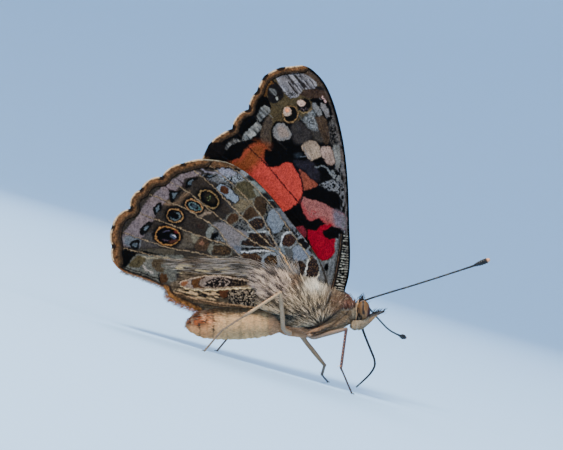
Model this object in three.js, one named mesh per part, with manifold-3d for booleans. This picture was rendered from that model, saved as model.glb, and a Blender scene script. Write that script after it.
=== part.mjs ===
// A painted lady butterfly standing with its wings closed over its back, life size, in millimetres.
// Everything is laid out in the insect's own frame: +X forward, +Y its left, +Z up, with the origin
// at the top of the thorax between the wing roots. The whole insect is then pitched nose up, so that
// its four walking feet stand on one level floor, and centred over its own box.

import * as THREE from "three";
import { mergeVertices } from "three/addons/utils/BufferGeometryUtils.js";
import Module from "manifold-3d";

const wasm = await Module();
wasm.setup();

// Driving dimensions
const GAP = 0.3; // clearance between touching pieces
const NOSE_UP = THREE.MathUtils.degToRad(16); // pitch of the insect's own frame over the floor
const FRONT_FOOT = { x: 4.62, z: -14.42 }; // where the right middle foot meets the floor
const WING_THICKNESS = 0.5;
const VEIN_HEIGHT = 0.17; // how far a vein stands over the membrane
const VEIN_HALF_WIDTH = 0.34;
const FOREWING_Y = 0.42; // middle of the membrane from the plane of symmetry
const HINDWING_Y = 1.4;
const SCALLOP = 0.22; // how deep the outer margin curves in between two veins
const FOOT = { length: 1.0, width: 0.6, height: 0.45 };

// Height of the floor, in the insect's frame, under a given x
const floorAt = (x) => FRONT_FOOT.z + (FRONT_FOOT.x - x) * Math.tan(NOSE_UP);

// Colours and finish of the pieces
const paint = (color, roughness = 0.8) => new THREE.MeshStandardMaterial({ color, roughness, metalness: 0 });
const SCALES_PALE = paint(0x8f8378);
const SCALES_RED = paint(0xb5563a);
const FUR = paint(0x8b765c, 0.9);
const FUR_TAN = paint(0x9c825f, 0.9);
const EYE = paint(0x5a4a2a, 0.3);
const LEG = paint(0x8a6a4a, 0.6);
const DARK = paint(0x1c1714, 0.5);
const PALE = paint(0xb3a391);

// Solids and meshes

function solidOf(geometry) {
  const bare = geometry.clone();
  for (const name of ["normal", "uv"]) bare.deleteAttribute(name);
  const merged = mergeVertices(bare, 1e-4);
  return new wasm.Manifold(
    new wasm.Mesh({
      numProp: 3,
      vertProperties: merged.attributes.position.array,
      triVerts: new Uint32Array(merged.index.array),
    }),
  );
}

// The largest closed surface of a solid, as a geometry
function geometryOf(solid) {
  const largest = solid.decompose().sort((a, b) => b.volume() - a.volume())[0];
  const mesh = largest.getMesh();
  const geometry = new THREE.BufferGeometry();
  geometry.setAttribute("position", new THREE.BufferAttribute(new Float32Array(mesh.vertProperties), 3));
  geometry.setIndex([...mesh.triVerts]);
  geometry.computeVertexNormals();
  return geometry;
}

const cut = (solid, ...tools) => tools.reduce((left, tool) => left.subtract(tool), solid);
const join = (...solids) => solids.reduce((all, solid) => all.add(solid));

function closedGeometry(vertices, triangles) {
  const geometry = new THREE.BufferGeometry();
  geometry.setAttribute("position", new THREE.Float32BufferAttribute(vertices.flat(), 3));
  geometry.setIndex(triangles.flat());
  return geometry;
}

// Rings of equal size joined into one closed skin, with a point at each end
function skin(rings, first, last) {
  const sides = rings[0].length;
  const vertices = [first, ...rings.flat(), last];
  const at = (ring, side) => 1 + ring * sides + (side % sides);
  const triangles = [];
  for (let side = 0; side < sides; side++) {
    triangles.push([0, at(0, side + 1), at(0, side)]);
    for (let ring = 0; ring + 1 < rings.length; ring++) {
      triangles.push([at(ring, side), at(ring, side + 1), at(ring + 1, side + 1)]);
      triangles.push([at(ring, side), at(ring + 1, side + 1), at(ring + 1, side)]);
    }
    triangles.push([vertices.length - 1, at(rings.length - 1, side), at(rings.length - 1, side + 1)]);
  }
  return closedGeometry(vertices, triangles);
}

// Rows of numbers, filled in by a Catmull-Rom spline
function filledIn(rows, steps) {
  const filled = [];
  for (let i = 0; i + 1 < rows.length; i++) {
    const [a, b, c] = [rows[Math.max(i - 1, 0)], rows[i], rows[i + 1]];
    const d = rows[Math.min(i + 2, rows.length - 1)];
    for (let step = 0; step < steps; step++) {
      const t = step / steps;
      filled.push(b.map((_, k) => 0.5 * (2 * b[k] + (c[k] - a[k]) * t
        + (2 * a[k] - 5 * b[k] + 4 * c[k] - d[k]) * t * t
        + (3 * b[k] - a[k] - 3 * c[k] + d[k]) * t * t * t)));
    }
  }
  return [...filled, rows.at(-1)];
}

// A body lofted forward along X from rows of [x, middle height, half height, half width]
function bodySolid(rows, { sides = 18, steps = 2, grow = 0, waist = () => 1 } = {}) {
  const stations = filledIn(rows, steps);
  const last = stations.length - 1;
  const rings = stations.map(([x, z, high, wide], i) => {
    const end = i === 0 ? -grow : i === last ? grow : 0;
    return Array.from({ length: sides }, (_, side) => {
      const angle = (side / sides) * 2 * Math.PI;
      return [
        x + end,
        -(wide * waist(x) + grow) * Math.sin(angle),
        z + (high * waist(x) + grow) * Math.cos(angle),
      ];
    });
  });
  const [back, front] = [stations[0], stations[last]];
  const point = grow + 0.05; // how far the middle of each end stands out
  return solidOf(skin(rings, [back[0] - point, 0, back[1]], [front[0] + point, 0, front[1]]));
}

// A round limb through rows of [x, y, z, radius]
function limbSolid(rows, { sides = 8, steps = 2, grow = 0, flatten = 1 } = {}) {
  const stations = filledIn(rows, steps);
  const points = stations.map(([x, y, z]) => new THREE.Vector3(x, y, z));
  const along = points.map((_, i) =>
    points[Math.min(i + 1, points.length - 1)].clone().sub(points[Math.max(i - 1, 0)]).normalize());
  let across = new THREE.Vector3(0, 1, 0).cross(along[0]).normalize();
  const rings = points.map((point, i) => {
    across = across.clone().addScaledVector(along[i], -across.dot(along[i])).normalize();
    const third = along[i].clone().cross(across);
    const radius = stations[i][3] + grow;
    return Array.from({ length: sides }, (_, side) => {
      const angle = (side / sides) * 2 * Math.PI;
      return point.clone()
        .addScaledVector(across, radius * Math.cos(angle))
        .addScaledVector(third, radius * flatten * Math.sin(angle))
        .toArray();
    });
  });
  const tip = (i, sign) =>
    points.at(i).clone().addScaledVector(along.at(i), sign * (stations.at(i)[3] * 0.4 + grow)).toArray();
  return solidOf(skin(rings, tip(0, -1), tip(-1, 1)));
}

function ballSolid([x, y, z], [rx, ry, rz], grow = 0, columns = 16, rows = 10) {
  const geometry = new THREE.SphereGeometry(1, columns, rows);
  geometry.scale(rx + grow, ry + grow, rz + grow);
  geometry.translate(x, y, z);
  return solidOf(geometry);
}

// Body: thorax, abdomen, head

// x, middle height, half height, half width
const THORAX = [
  [-6.0, -4.3, 1.5, 1.3],
  [-5.0, -4.1, 2.4, 2.1],
  [-3.5, -3.7, 3.1, 2.6],
  [-1.5, -3.4, 3.5, 2.8],
  [0.5, -3.25, 3.5, 2.7],
  [2.2, -3.05, 3.05, 2.35],
  [3.6, -2.95, 2.4, 1.9],
  [4.5, -3.1, 1.65, 1.3],
];
const ABDOMEN = [
  [-18.4, -5.25, 0.45, 0.4],
  [-17.7, -5.1, 1.1, 1.0],
  [-16.2, -4.9, 1.9, 1.75],
  [-14.0, -4.75, 2.25, 2.1],
  [-11.5, -4.6, 2.4, 2.2],
  [-9.0, -4.45, 2.35, 2.2],
  [-7.0, -4.3, 2.15, 2.0],
  [-4.6, -4.15, 1.6, 1.5],
];
const ABDOMEN_RING = 1.9; // length of one ring of the abdomen
const RING_WAIST = 0.045; // how much the body narrows where two rings meet
const ringWaist = (x) => 1 - RING_WAIST * Math.cos(((x + 18.4) / ABDOMEN_RING) * 2 * Math.PI) ** 6;

const thorax = bodySolid(THORAX);
const thoraxRoom = bodySolid(THORAX, { grow: GAP });
const abdomen = cut(bodySolid(ABDOMEN, { steps: 4, waist: ringWaist }), thoraxRoom);

const HEAD = { middle: [5.75, 0, -2.95], size: [1.35, 0.85, 1.5] };
const EYE_BALL = { x: 6.05, y: 0.95, z: -2.75, size: [0.92, 0.85, 1.35] };

const headRoom = ballSolid(HEAD.middle, HEAD.size, GAP);
const head = cut(ballSolid(HEAD.middle, HEAD.size), thoraxRoom);
const eyeSolid = (side, grow = 0) =>
  ballSolid([EYE_BALL.x, side * EYE_BALL.y, EYE_BALL.z], EYE_BALL.size, grow);

// Mouthparts: two upturned palps and the sucking tongue let down between them

// x, y, z, radius
const PROBOSCIS = [
  [5.75, 0, -4.3, 0.28],
  [5.95, 0, -5.4, 0.27],
  [6.45, 0, -6.8, 0.26],
  [7.1, 0, -8.4, 0.25],
  [7.6, 0, -9.7, 0.25],
  [7.62, 0, -10.7, 0.25],
  [7.0, 0, -11.75, 0.25],
  [6.0, 0, -12.75, 0.22],
  [5.05, 0, -13.6, 0.15],
];
const PALP = [
  [4.6, 0.8, -4.9, 0.78],
  [5.4, 0.82, -4.9, 0.82],
  [6.3, 0.8, -4.45, 0.7],
  [7.2, 0.7, -3.75, 0.56],
  [8.0, 0.56, -3.3, 0.4],
  [9.1, 0.42, -3.0, 0.14],
];
const PALP_FLATTEN = 0.72; // a palp is flatter from side to side than it is deep

const proboscis = cut(limbSolid(PROBOSCIS), headRoom);
const proboscisRoom = limbSolid(PROBOSCIS, { grow: GAP * 0.85 });

function palpSolid(side) {
  const rows = PALP.map(([x, y, z, r]) => [x, side * y, z, r]);
  const palp = limbSolid(rows, { sides: 10, flatten: PALP_FLATTEN });
  return cut(palp, headRoom, proboscisRoom, thoraxRoom, eyeSolid(side, GAP));
}

// Feelers: a straight shaft that ends in a flattened club. The right one reaches forward and up,
// the left one is swung out and droops.
const FEELERS = {
  right: [
    [6.2, -0.45, -1.75, 0.26],
    [6.9, -0.75, -1.2, 0.25],
    [14.0, -2.9, 1.05, 0.25],
    [20.6, -4.8, 3.25, 0.26],
    [21.9, -5.15, 3.75, 0.38],
    [22.9, -5.45, 4.15, 0.4],
    [23.35, -5.6, 4.35, 0.2],
  ],
  left: [
    [6.2, 0.45, -1.75, 0.26],
    [6.7, 1.5, -2.3, 0.25],
    [8.2, 6.0, -4.05, 0.25],
    [10.0, 11.2, -5.9, 0.25],
    [11.6, 14.3, -6.85, 0.26],
    [12.2, 15.4, -7.1, 0.4],
    [12.7, 16.3, -7.3, 0.2],
  ],
};
const feelerSolid = (side, rows) => cut(limbSolid(rows), headRoom, eyeSolid(side, GAP));

// Legs. The four walking legs have a thigh, a shin and a foot; the two short front legs are folded
// along the breast. Each joint is a list of [x, y, z, radius].

// The sole of a foot, flat on the floor, with its heel at x
function soleSolid(x, y) {
  const geometry = new THREE.BoxGeometry(FOOT.length, FOOT.width, FOOT.height);
  geometry.translate(0, 0, FOOT.height / 2);
  geometry.rotateY(NOSE_UP);
  geometry.translate(x, y, floorAt(x));
  return solidOf(geometry);
}

// A point over the floor: x, y, height of its middle over the floor
const overFloor = (x, y, height) =>
  [x + height * Math.sin(NOSE_UP), y, floorAt(x) + height * Math.cos(NOSE_UP)];

const LEGS = {
  midleg_right: {
    hip: [-1.6, -1.5, -6.2, 0.42],
    trochanter: [-0.9, -2.0, -6.55, 0.38],
    knee: [3.6, -3.5, -5.35, 0.3],
    ankle: [2.85, -4.3, -10.7, 0.26],
    toe: { x: 4.3, y: -5.0 },
  },
  midleg_left: {
    hip: [-2.6, 1.2, -6.3, 0.42],
    trochanter: [-1.9, 1.9, -7.4, 0.38],
    knee: [0.7, 3.6, -10.7, 0.3],
    ankle: [0.35, 6.6, -12.2, 0.26],
    toe: { x: 1.2, y: 8.6 },
  },
  hindleg_right: {
    hip: [-4.2, -1.6, -5.9, 0.42],
    trochanter: [-5.1, -2.7, -5.3, 0.38],
    knee: [-5.55, -4.9, -0.25, 0.3],
    ankle: [-10.5, -5.6, -3.45, 0.26],
    instep: [-13.6, -5.4, -5.4, 0.25],
    toe: { x: -16.1, y: -5.0 },
  },
  hindleg_left: {
    hip: [-4.2, 1.6, -5.9, 0.42],
    trochanter: [-5.1, 2.8, -5.3, 0.38],
    knee: [-5.6, 5.1, -0.9, 0.3],
    ankle: [-9.9, 5.9, -4.2, 0.26],
    instep: [-12.4, 5.8, -6.2, 0.25],
    toe: { x: -14.6, y: 5.6 },
  },
};

function legSolids({ hip, trochanter, knee, ankle, instep, toe }) {
  const thigh = [hip, trochanter, knee];
  const shin = [knee, ankle];
  const heel = [...overFloor(toe.x, toe.y, FOOT.height / 2), FOOT.height / 2];
  const foot = instep ? [ankle, instep, heel] : [ankle, heel];
  return {
    femur: cut(limbSolid(thigh), thoraxRoom),
    tibia: cut(limbSolid(shin), limbSolid(thigh, { grow: GAP })),
    tarsus: join(cut(limbSolid(foot), limbSolid(shin, { grow: GAP })), soleSolid(toe.x, toe.y)),
  };
}

const FORELEG = [
  [3.8, 1.65, -4.0, 0.48],
  [2.2, 2.5, -4.7, 0.48],
  [0.4, 2.75, -5.3, 0.42],
  [-1.7, 2.5, -5.95, 0.24],
];
const forelegSolid = (side) =>
  cut(limbSolid(FORELEG.map(([x, y, z, r]) => [x, side * y, z, r]), { flatten: 1.15 }), thoraxRoom);

// Wings. Each is one sheet: a flat net of triangles over its outline, alike on both faces, bent
// outwards over the body, with the veins raised on its outer face.

// How far the wings spread over the body to make room for it
function spread(x, z) {
  const share = THREE.MathUtils.smoothstep(x, -22, -3) * 0.75 + 0.25;
  const height = Math.max(0, z + 2.2) / 2.6;
  return 1.1 * share * Math.exp(-height * height);
}

// Points of an outline: smooth stretches are splines, and scalloped ones curve in between the veins
function outlinePoints({ smooth, scalloped }, spacing) {
  const points = [];
  for (const stretch of [smooth, ...scalloped]) {
    const curve = new THREE.SplineCurve(stretch.map(([x, z]) => new THREE.Vector2(x, z)));
    points.push(...curve.getSpacedPoints(Math.round(curve.getLength() / spacing)).slice(0, -1));
  }
  return points;
}

// One scallop of the margin: from one vein's tooth to the next, curved in by SCALLOP
function scallops(teeth, inward) {
  return teeth.slice(0, -1).map((from, i) => {
    const to = teeth[i + 1];
    const [dx, dz] = [to[0] - from[0], to[1] - from[1]];
    const length = Math.hypot(dx, dz);
    const [inX, inZ] = [(inward * dz * SCALLOP) / length, (-inward * dx * SCALLOP) / length];
    const dip = (t) => [from[0] + dx * t + inX, from[1] + dz * t + inZ];
    return [from, dip(0.3), dip(0.7), to];
  });
}

const inside = (point, loop) => {
  let odd = false;
  loop.forEach((a, i) => {
    const b = loop[(i + 1) % loop.length];
    const level = (point.y - a.y) / (b.y - a.y);
    if (a.y > point.y !== b.y > point.y && point.x < a.x + (b.x - a.x) * level) odd = !odd;
  });
  return odd;
};

// Delaunay triangles of flat points, by adding one point at a time
function delaunay(points) {
  const far = 1e3;
  const corners = [[-far, -far], [far, -far], [0, far]].map(([x, y]) => new THREE.Vector2(x, y));
  const all = [...points, ...corners];
  const n = points.length;
  const circle = (a, b, c) => {
    const [A, B, C] = [all[a], all[b], all[c]];
    const d = 2 * (A.x * (B.y - C.y) + B.x * (C.y - A.y) + C.x * (A.y - B.y));
    const [aa, bb, cc] = [A.lengthSq(), B.lengthSq(), C.lengthSq()];
    const x = (aa * (B.y - C.y) + bb * (C.y - A.y) + cc * (A.y - B.y)) / d;
    const y = (aa * (C.x - B.x) + bb * (A.x - C.x) + cc * (B.x - A.x)) / d;
    return { corners: [a, b, c], x, y, r2: (A.x - x) ** 2 + (A.y - y) ** 2 };
  };
  let triangles = [circle(n, n + 1, n + 2)];
  points.forEach((p, index) => {
    const hit = triangles.filter((t) => (p.x - t.x) ** 2 + (p.y - t.y) ** 2 < t.r2 - 1e-12);
    const edges = new Map();
    for (const { corners: [a, b, c] } of hit)
      for (const [from, to] of [[a, b], [b, c], [c, a]]) {
        if (edges.has(`${to},${from}`)) edges.delete(`${to},${from}`);
        else edges.set(`${from},${to}`, [from, to]);
      }
    triangles = triangles.filter((t) => !hit.includes(t));
    for (const [from, to] of edges.values()) triangles.push(circle(from, to, index));
  });
  return triangles.map((t) => t.corners).filter((corners) => corners.every((c) => c < n));
}

const EDGE_SPACING = 1.15;
const VEIN_SPACING = 1.9;
const FILL_SPACING = 3.2;
const LEAST_SPACING = 0.3;
const EDGE_ROOM = 0.45; // how far the veins' points stay from the outline

// Flat points of a wing, each with its share of the vein's height
function wingNet({ outline, veins }) {
  const loop = outlinePoints(outline, EDGE_SPACING);
  const net = loop.map((point) => ({ point, ridge: 0 }));
  const clear = (point, room) => net.every((other) => other.point.distanceTo(point) >= room);
  const clearOfEdge = (point, room) => loop.every((other) => other.distanceTo(point) >= room);
  const lines = veins.map((vein) => {
    const curve = new THREE.SplineCurve(vein.map(([x, z]) => new THREE.Vector2(x, z)));
    const steps = Math.max(2, Math.round(curve.getLength() / VEIN_SPACING));
    return curve.getSpacedPoints(steps).map((point, i) => ({ point, along: curve.getTangentAt(i / steps) }));
  });
  for (const { point } of lines.flat())
    if (inside(point, loop) && clearOfEdge(point, EDGE_ROOM) && clear(point, LEAST_SPACING))
      net.push({ point, ridge: 1 });
  const middles = net.filter((each) => each.ridge);
  for (const { point, along } of lines.flat())
    for (const side of [-1, 1]) {
      const beside = new THREE.Vector2(-along.y, along.x).multiplyScalar(side * VEIN_HALF_WIDTH).add(point);
      const free = middles.every((middle) => middle.point.distanceTo(beside) >= VEIN_HALF_WIDTH * 0.95);
      if (inside(beside, loop) && free && clearOfEdge(beside, EDGE_ROOM) && clear(beside, LEAST_SPACING))
        net.push({ point: beside, ridge: 0 });
    }
  const box = new THREE.Box2().setFromPoints(loop);
  let row = 0;
  for (let y = box.min.y; y < box.max.y; y += FILL_SPACING * 0.87, row++)
    for (let x = box.min.x + (row % 2) * FILL_SPACING * 0.5; x < box.max.x; x += FILL_SPACING) {
      const point = new THREE.Vector2(x, y);
      if (inside(point, loop) && clear(point, FILL_SPACING * 0.45)) net.push({ point, ridge: 0 });
    }
  const triangles = delaunay(net.map((each) => each.point)).filter(([a, b, c]) => {
    const middle = new THREE.Vector2().add(net[a].point).add(net[b].point).add(net[c].point).divideScalar(3);
    return inside(middle, loop);
  });
  return { net, triangles };
}

// A wing as a solid on one side of the body: side is 1 on the left, -1 on the right
function wingSolid(wing, offset, side) {
  const { net, triangles } = wingNet(wing);
  const outer = net.map(({ point, ridge }) => {
    const out = offset + spread(point.x, point.y) + WING_THICKNESS / 2 + ridge * VEIN_HEIGHT;
    return [point.x, side * out, point.y];
  });
  const inner = net.map(({ point }) =>
    [point.x, side * (offset + spread(point.x, point.y) - WING_THICKNESS / 2), point.y]);
  const once = new Map();
  for (const [a, b, c] of triangles)
    for (const [from, to] of [[a, b], [b, c], [c, a]]) {
      if (once.has(`${to},${from}`)) once.delete(`${to},${from}`);
      else once.set(`${from},${to}`, [from, to]);
    }
  const n = net.length;
  const faces = [
    ...triangles.map(([a, b, c]) => [c, b, a]),
    ...triangles.map(([a, b, c]) => [a + n, b + n, c + n]),
    ...[...once.values()].flatMap(([a, b]) => [[a, b, b + n], [a, b + n, a + n]]),
  ];
  const turned = side > 0 ? faces : faces.map(([a, b, c]) => [c, b, a]);
  return cut(solidOf(closedGeometry([...outer, ...inner], turned)), thoraxRoom);
}

const FOREWING_TEETH = [
  [-2.5, 31.45], [-5.5, 31.15], [-7.8, 29.95], [-8.85, 27.8], [-10.0, 25.3], [-12.3, 22.55],
  [-15.6, 20.3], [-16.5, 18.4],
];
const FOREWING = {
  outline: {
    smooth: [
      [0.2, -2.2], [1.6, -2.4], [3.0, -2.0], [3.5, 0], [4.05, 2.2], [4.22, 5], [4.1, 9],
      [3.95, 14], [3.6, 18.3], [3.0, 22], [1.95, 26], [0.6, 29], [-1.2, 30.9], [-2.5, 31.45],
    ],
    scalloped: [...scallops(FOREWING_TEETH, 1), [[-16.5, 18.4], [-12, 13.6], [-6, 6.6], [0.2, -2.2]]],
  },
  veins: [
    // radius, to R5
    [
      [2.2, 0.2], [2.4, 5], [2.5, 10], [2.2, 14.5], [1.5, 19.5], [-0.3, 24.5], [-2.3, 28.4],
      [-4.3, 31],
    ],
    [[1.6, 20.8], [1.5, 24.5], [0.8, 28.4]], // R3
    [[0.9, 17.4], [-0.7, 20.4], [-2.9, 24], [-5.4, 27.5], [-7.6, 29.7]], // M1
    [[0.2, 16], [-1.9, 19.5], [-4.2, 23.2], [-6.6, 26], [-8.6, 27.6]], // M2
    [[-2.5, 13.9], [-3, 16.3], [-5.2, 19.8], [-8, 23.2], [-9.8, 25.1]], // M3
    // cubitus, to CuA1
    [
      [1.6, 0], [0.1, 3], [-1.3, 6], [-2.1, 9.2], [-2.95, 12.2], [-5, 14.7], [-8.5, 18.6],
      [-12.1, 22.3],
    ],
    [[-1.9, 8.6], [-6, 12.6], [-15.3, 20]], // CuA2
    [[1, 0], [-5, 7], [-11, 13.4], [-16, 18.6]], // anal vein
    [[1.9, 16.6], [0.2, 16], [-1.2, 14.7], [-2.5, 13.9], [-2.9, 12.4]], // end of the cell
  ],
};
const HINDWING_TEETH = [
  [-16.4, 18.35], [-19.2, 17.7], [-22.1, 15.85], [-25.05, 14.1], [-26.5, 11.4], [-29.1, 8.8],
  [-29.05, 6.1], [-28.95, 4],
];
const HINDWING = {
  outline: {
    smooth: [
      [0.2, -2.6], [1.15, -1], [1.05, 1], [0.3, 3.4], [-1.2, 5.9], [-4, 9.5], [-7, 13.3],
      [-10, 16.2], [-13, 17.85], [-16.4, 18.35],
    ],
    scalloped: [
      ...scallops(HINDWING_TEETH, 1),
      [[-28.95, 4], [-27.6, 2.65], [-24, 1.35], [-21.6, 0.2], [-20.8, -1.1], [-17, -2.9]],
      [[-17, -2.9], [-13, -2.4], [-9, -2.7], [-5.5, -3.4], [-2.5, -3.4], [0.2, -2.6]],
    ],
  },
  veins: [
    [[-1.2, 1], [-2.2, 5.3], [-4, 8], [-7.3, 12.3], [-10.5, 15.4], [-13, 17.4]], // Sc + R1
    // radius, to Rs
    [
      [-2.2, 0.2], [-4.6, 3.9], [-5.9, 5.7], [-7, 8.2], [-9.4, 11.8], [-12.4, 14.9], [-16, 17.9],
    ],
    [[-6, 5.6], [-9.9, 9.1], [-14, 13.6], [-17, 16.2], [-19, 17.4]], // M1
    [[-6.4, 5.4], [-10.2, 7.4], [-14, 10.1], [-18, 13.2], [-21.9, 15.6]], // M2
    [[-12.7, 6.1], [-14.4, 8.5], [-18.2, 10.7], [-22, 12.5], [-24.8, 13.9]], // M3
    // cubitus, to CuA1
    [
      [-3.2, 0.2], [-6.8, 1.4], [-9.8, 3.6], [-12.7, 6.1], [-16.5, 7.5], [-20.5, 9], [-26.2, 11.2],
    ],
    [[-9.8, 3.6], [-14, 4.5], [-20, 5.75], [-25, 7.2], [-28.8, 8.5]], // CuA2
    [[-4, 0], [-9, 2.3], [-15, 3.7], [-21, 4.2], [-25.5, 5.5], [-28.7, 6.1]], // 1A + 2A
    [[-5, -0.6], [-9, 0.2], [-14, 0.3], [-20.4, -0.5]], // 3A
  ],
};

// The insect

const insect = new THREE.Group();
const add = (name, solid, material) => {
  const mesh = new THREE.Mesh(geometryOf(solid), material);
  mesh.name = name;
  insect.add(mesh);
};

add("thorax", thorax, FUR);
add("abdomen", abdomen, FUR_TAN);
add("head", head, FUR);
add("proboscis", proboscis, DARK);
for (const [side, sign] of [["right", -1], ["left", 1]]) {
  add(`eye_${side}`, cut(eyeSolid(sign), headRoom, thoraxRoom), EYE);
  add(`palp_${side}`, palpSolid(sign), PALE);
  add(`antenna_${side}`, feelerSolid(sign, FEELERS[side]), DARK);
  add(`foreleg_${side}`, forelegSolid(sign), FUR_TAN);
  add(`forewing_${side}`, wingSolid(FOREWING, FOREWING_Y, sign), SCALES_RED);
  add(`hindwing_${side}`, wingSolid(HINDWING, HINDWING_Y, sign), SCALES_PALE);
}
for (const [leg, joints] of Object.entries(LEGS))
  for (const [piece, solid] of Object.entries(legSolids(joints))) add(`${leg}_${piece}`, solid, LEG);

// Pitched nose up, standing on the floor, centred over its own box
insect.rotation.y = -NOSE_UP;
const standing = new THREE.Group();
standing.add(insect);
standing.updateMatrixWorld(true);
const box = new THREE.Box3().setFromObject(standing, true);
insect.position.set(
  -(box.min.x + box.max.x) / 2,
  -(box.min.y + box.max.y) / 2,
  -(FRONT_FOOT.x * Math.sin(NOSE_UP) + FRONT_FOOT.z * Math.cos(NOSE_UP)),
);

export default standing;
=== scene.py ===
"""The looks of a painted lady butterfly that stands with its wings closed over its back.

Shapes are laid out in millimetres in the insect's own frame: x forward, y its left, z up, with the
origin at the top of the thorax between the wing roots. placed() turns them into the CAD nodes' frame.
"""

import math

import bpy
import numpy as np
from mathutils import Matrix, Vector
from mathutils.geometry import delaunay_2d_cdt


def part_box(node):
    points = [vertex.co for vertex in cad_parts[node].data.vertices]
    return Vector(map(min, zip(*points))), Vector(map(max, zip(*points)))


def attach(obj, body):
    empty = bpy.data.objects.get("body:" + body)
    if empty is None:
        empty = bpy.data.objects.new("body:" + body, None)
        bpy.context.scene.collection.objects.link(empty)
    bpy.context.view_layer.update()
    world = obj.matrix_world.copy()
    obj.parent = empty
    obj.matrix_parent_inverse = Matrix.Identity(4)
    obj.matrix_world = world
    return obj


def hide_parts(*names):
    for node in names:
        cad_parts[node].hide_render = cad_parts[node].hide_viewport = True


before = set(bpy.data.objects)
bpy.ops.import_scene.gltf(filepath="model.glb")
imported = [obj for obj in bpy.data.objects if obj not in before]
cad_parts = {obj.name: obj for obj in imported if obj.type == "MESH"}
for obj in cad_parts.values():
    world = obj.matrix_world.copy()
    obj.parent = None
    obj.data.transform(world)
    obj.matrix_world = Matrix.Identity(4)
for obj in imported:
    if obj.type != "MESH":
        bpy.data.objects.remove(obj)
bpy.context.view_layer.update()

SIDES = (("right", -1), ("left", 1))  # the camera looks at the insect's right side

# The insect's own frame

MM = 0.001
NOSE_UP = math.radians(16)
FRONT_FOOT = (4.62, -14.42)  # x, z of a point on the floor
RIGHT_TOE = (4.3, -5.0)  # x, y of the middle of the right middle foot's sole
SOLE_LENGTH = 1.0
SOLE_WIDTH = 0.6


def floor_at(x):
    """Height of the floor under a given x."""
    return FRONT_FOOT[1] + (FRONT_FOOT[0] - x) * math.tan(NOSE_UP)


def pitched(points):
    p = np.asarray(points, float)
    x = p[..., 0] * math.cos(NOSE_UP) - p[..., 2] * math.sin(NOSE_UP)
    z = p[..., 0] * math.sin(NOSE_UP) + p[..., 2] * math.cos(NOSE_UP)
    return np.stack([x, p[..., 1], z], -1)


def shift_into_frame():
    """What moves the pitched insect onto the CAD nodes, taken from the right middle foot."""
    low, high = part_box("midleg_right_tarsus")
    toe = pitched((*RIGHT_TOE, floor_at(RIGHT_TOE[0])))
    sole = np.array([high.x / MM - SOLE_LENGTH / 2, low.y / MM + SOLE_WIDTH / 2, 0.0])
    return sole - toe


SHIFT = shift_into_frame()


def placed(points):
    return (pitched(points) + SHIFT) * MM


# Numbers and curves


def noise(x, z, cell, seed):
    """Smooth random field from -1 to 1, with features about one cell wide."""
    table = np.random.default_rng(seed).uniform(-1, 1, (64, 64))
    u, v = x / cell, z / cell
    i, j = np.floor(u).astype(int), np.floor(v).astype(int)
    s, t = u - i, v - j
    s, t = s * s * (3 - 2 * s), t * t * (3 - 2 * t)
    a, b = table[i % 64, j % 64], table[(i + 1) % 64, j % 64]
    c, d = table[i % 64, (j + 1) % 64], table[(i + 1) % 64, (j + 1) % 64]
    return (a * (1 - s) + b * s) * (1 - t) + (c * (1 - s) + d * s) * t


def smoothstep(value, low, high):
    """0 up to low, 1 from high on."""
    t = np.clip((value - low) / (high - low), 0, 1)
    return t * t * (3 - 2 * t)


def fade(value, low, high):
    """1 up to low, 0 from high on."""
    return 1 - smoothstep(value, low, high)


def hump(x, z, middle, size):
    """1 at a middle, falling off over a size, both as x, z."""
    return np.exp(-(((x - middle[0]) / size[0]) ** 2 + ((z - middle[1]) / size[1]) ** 2))


def height_on(line, x):
    """Height at x of a polyline of x, z."""
    return np.interp(x, *np.array(line).T)


def spline(points, steps=5, closed=False):
    """Catmull-Rom curve through rows of numbers."""
    p = np.asarray(points, float)
    n = len(p)
    rows = []
    for i in range(n if closed else n - 1):
        if closed:
            a, b, c, d = p[i - 1], p[i], p[(i + 1) % n], p[(i + 2) % n]
        else:
            a, b, c, d = p[max(i - 1, 0)], p[i], p[i + 1], p[min(i + 2, n - 1)]
        for t in np.arange(steps) / steps:
            rows.append(
                0.5 * (2 * b + (c - a) * t + (2 * a - 5 * b + 4 * c - d) * t**2
                       + (3 * b - a - 3 * c + d) * t**3)
            )
    if not closed:
        rows.append(p[-1])
    return np.array(rows)


def evenly(points, spacing):
    """Points at even steps along a polyline, its last point included."""
    p = np.asarray(points, float)
    along = np.concatenate([[0], np.cumsum(np.linalg.norm(np.diff(p, axis=0), axis=1))])
    steps = max(1, round(along[-1] / spacing))
    at = np.linspace(0, along[-1], steps + 1)
    return np.stack([np.interp(at, along, p[:, k]) for k in range(p.shape[1])], 1)


def distance_to_line(x, z, line):
    """Distance from points to a polyline, and how far along it the nearest point is, 0 to 1."""
    best = np.full(x.shape, 1e9)
    where = np.zeros(x.shape)
    lengths = np.linalg.norm(np.diff(line, axis=0), axis=1)
    total, run = lengths.sum(), 0.0
    for (ax, az), (bx, bz), length in zip(line[:-1], line[1:], lengths):
        if length < 1e-9:
            continue
        dx, dz = (bx - ax) / length, (bz - az) / length
        t = np.clip((x - ax) * dx + (z - az) * dz, 0, length)
        d = np.hypot(x - ax - t * dx, z - az - t * dz)
        near = d < best
        best[near] = d[near]
        where[near] = (run + t[near]) / total
        run += length
    return best, where


def is_inside(x, z, loop):
    odd = np.zeros(x.shape, bool)
    for (ax, az), (bx, bz) in zip(loop, np.roll(loop, -1, axis=0)):
        if az == bz:
            continue
        crosses = (az > z) != (bz > z)
        odd ^= crosses & (x < ax + (bx - ax) * (z - az) / (bz - az))
    return odd


# Meshes


def set_pattern(mesh, colours):
    """Keeps one colour a point in the layer that painted_material() reads."""
    layer = mesh.color_attributes.new("pattern", "FLOAT_COLOR", "POINT")
    rgba = np.concatenate([colours, np.ones((len(colours), 1))], 1)
    layer.data.foreach_set("color", rgba.astype(np.float32).ravel())


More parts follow.
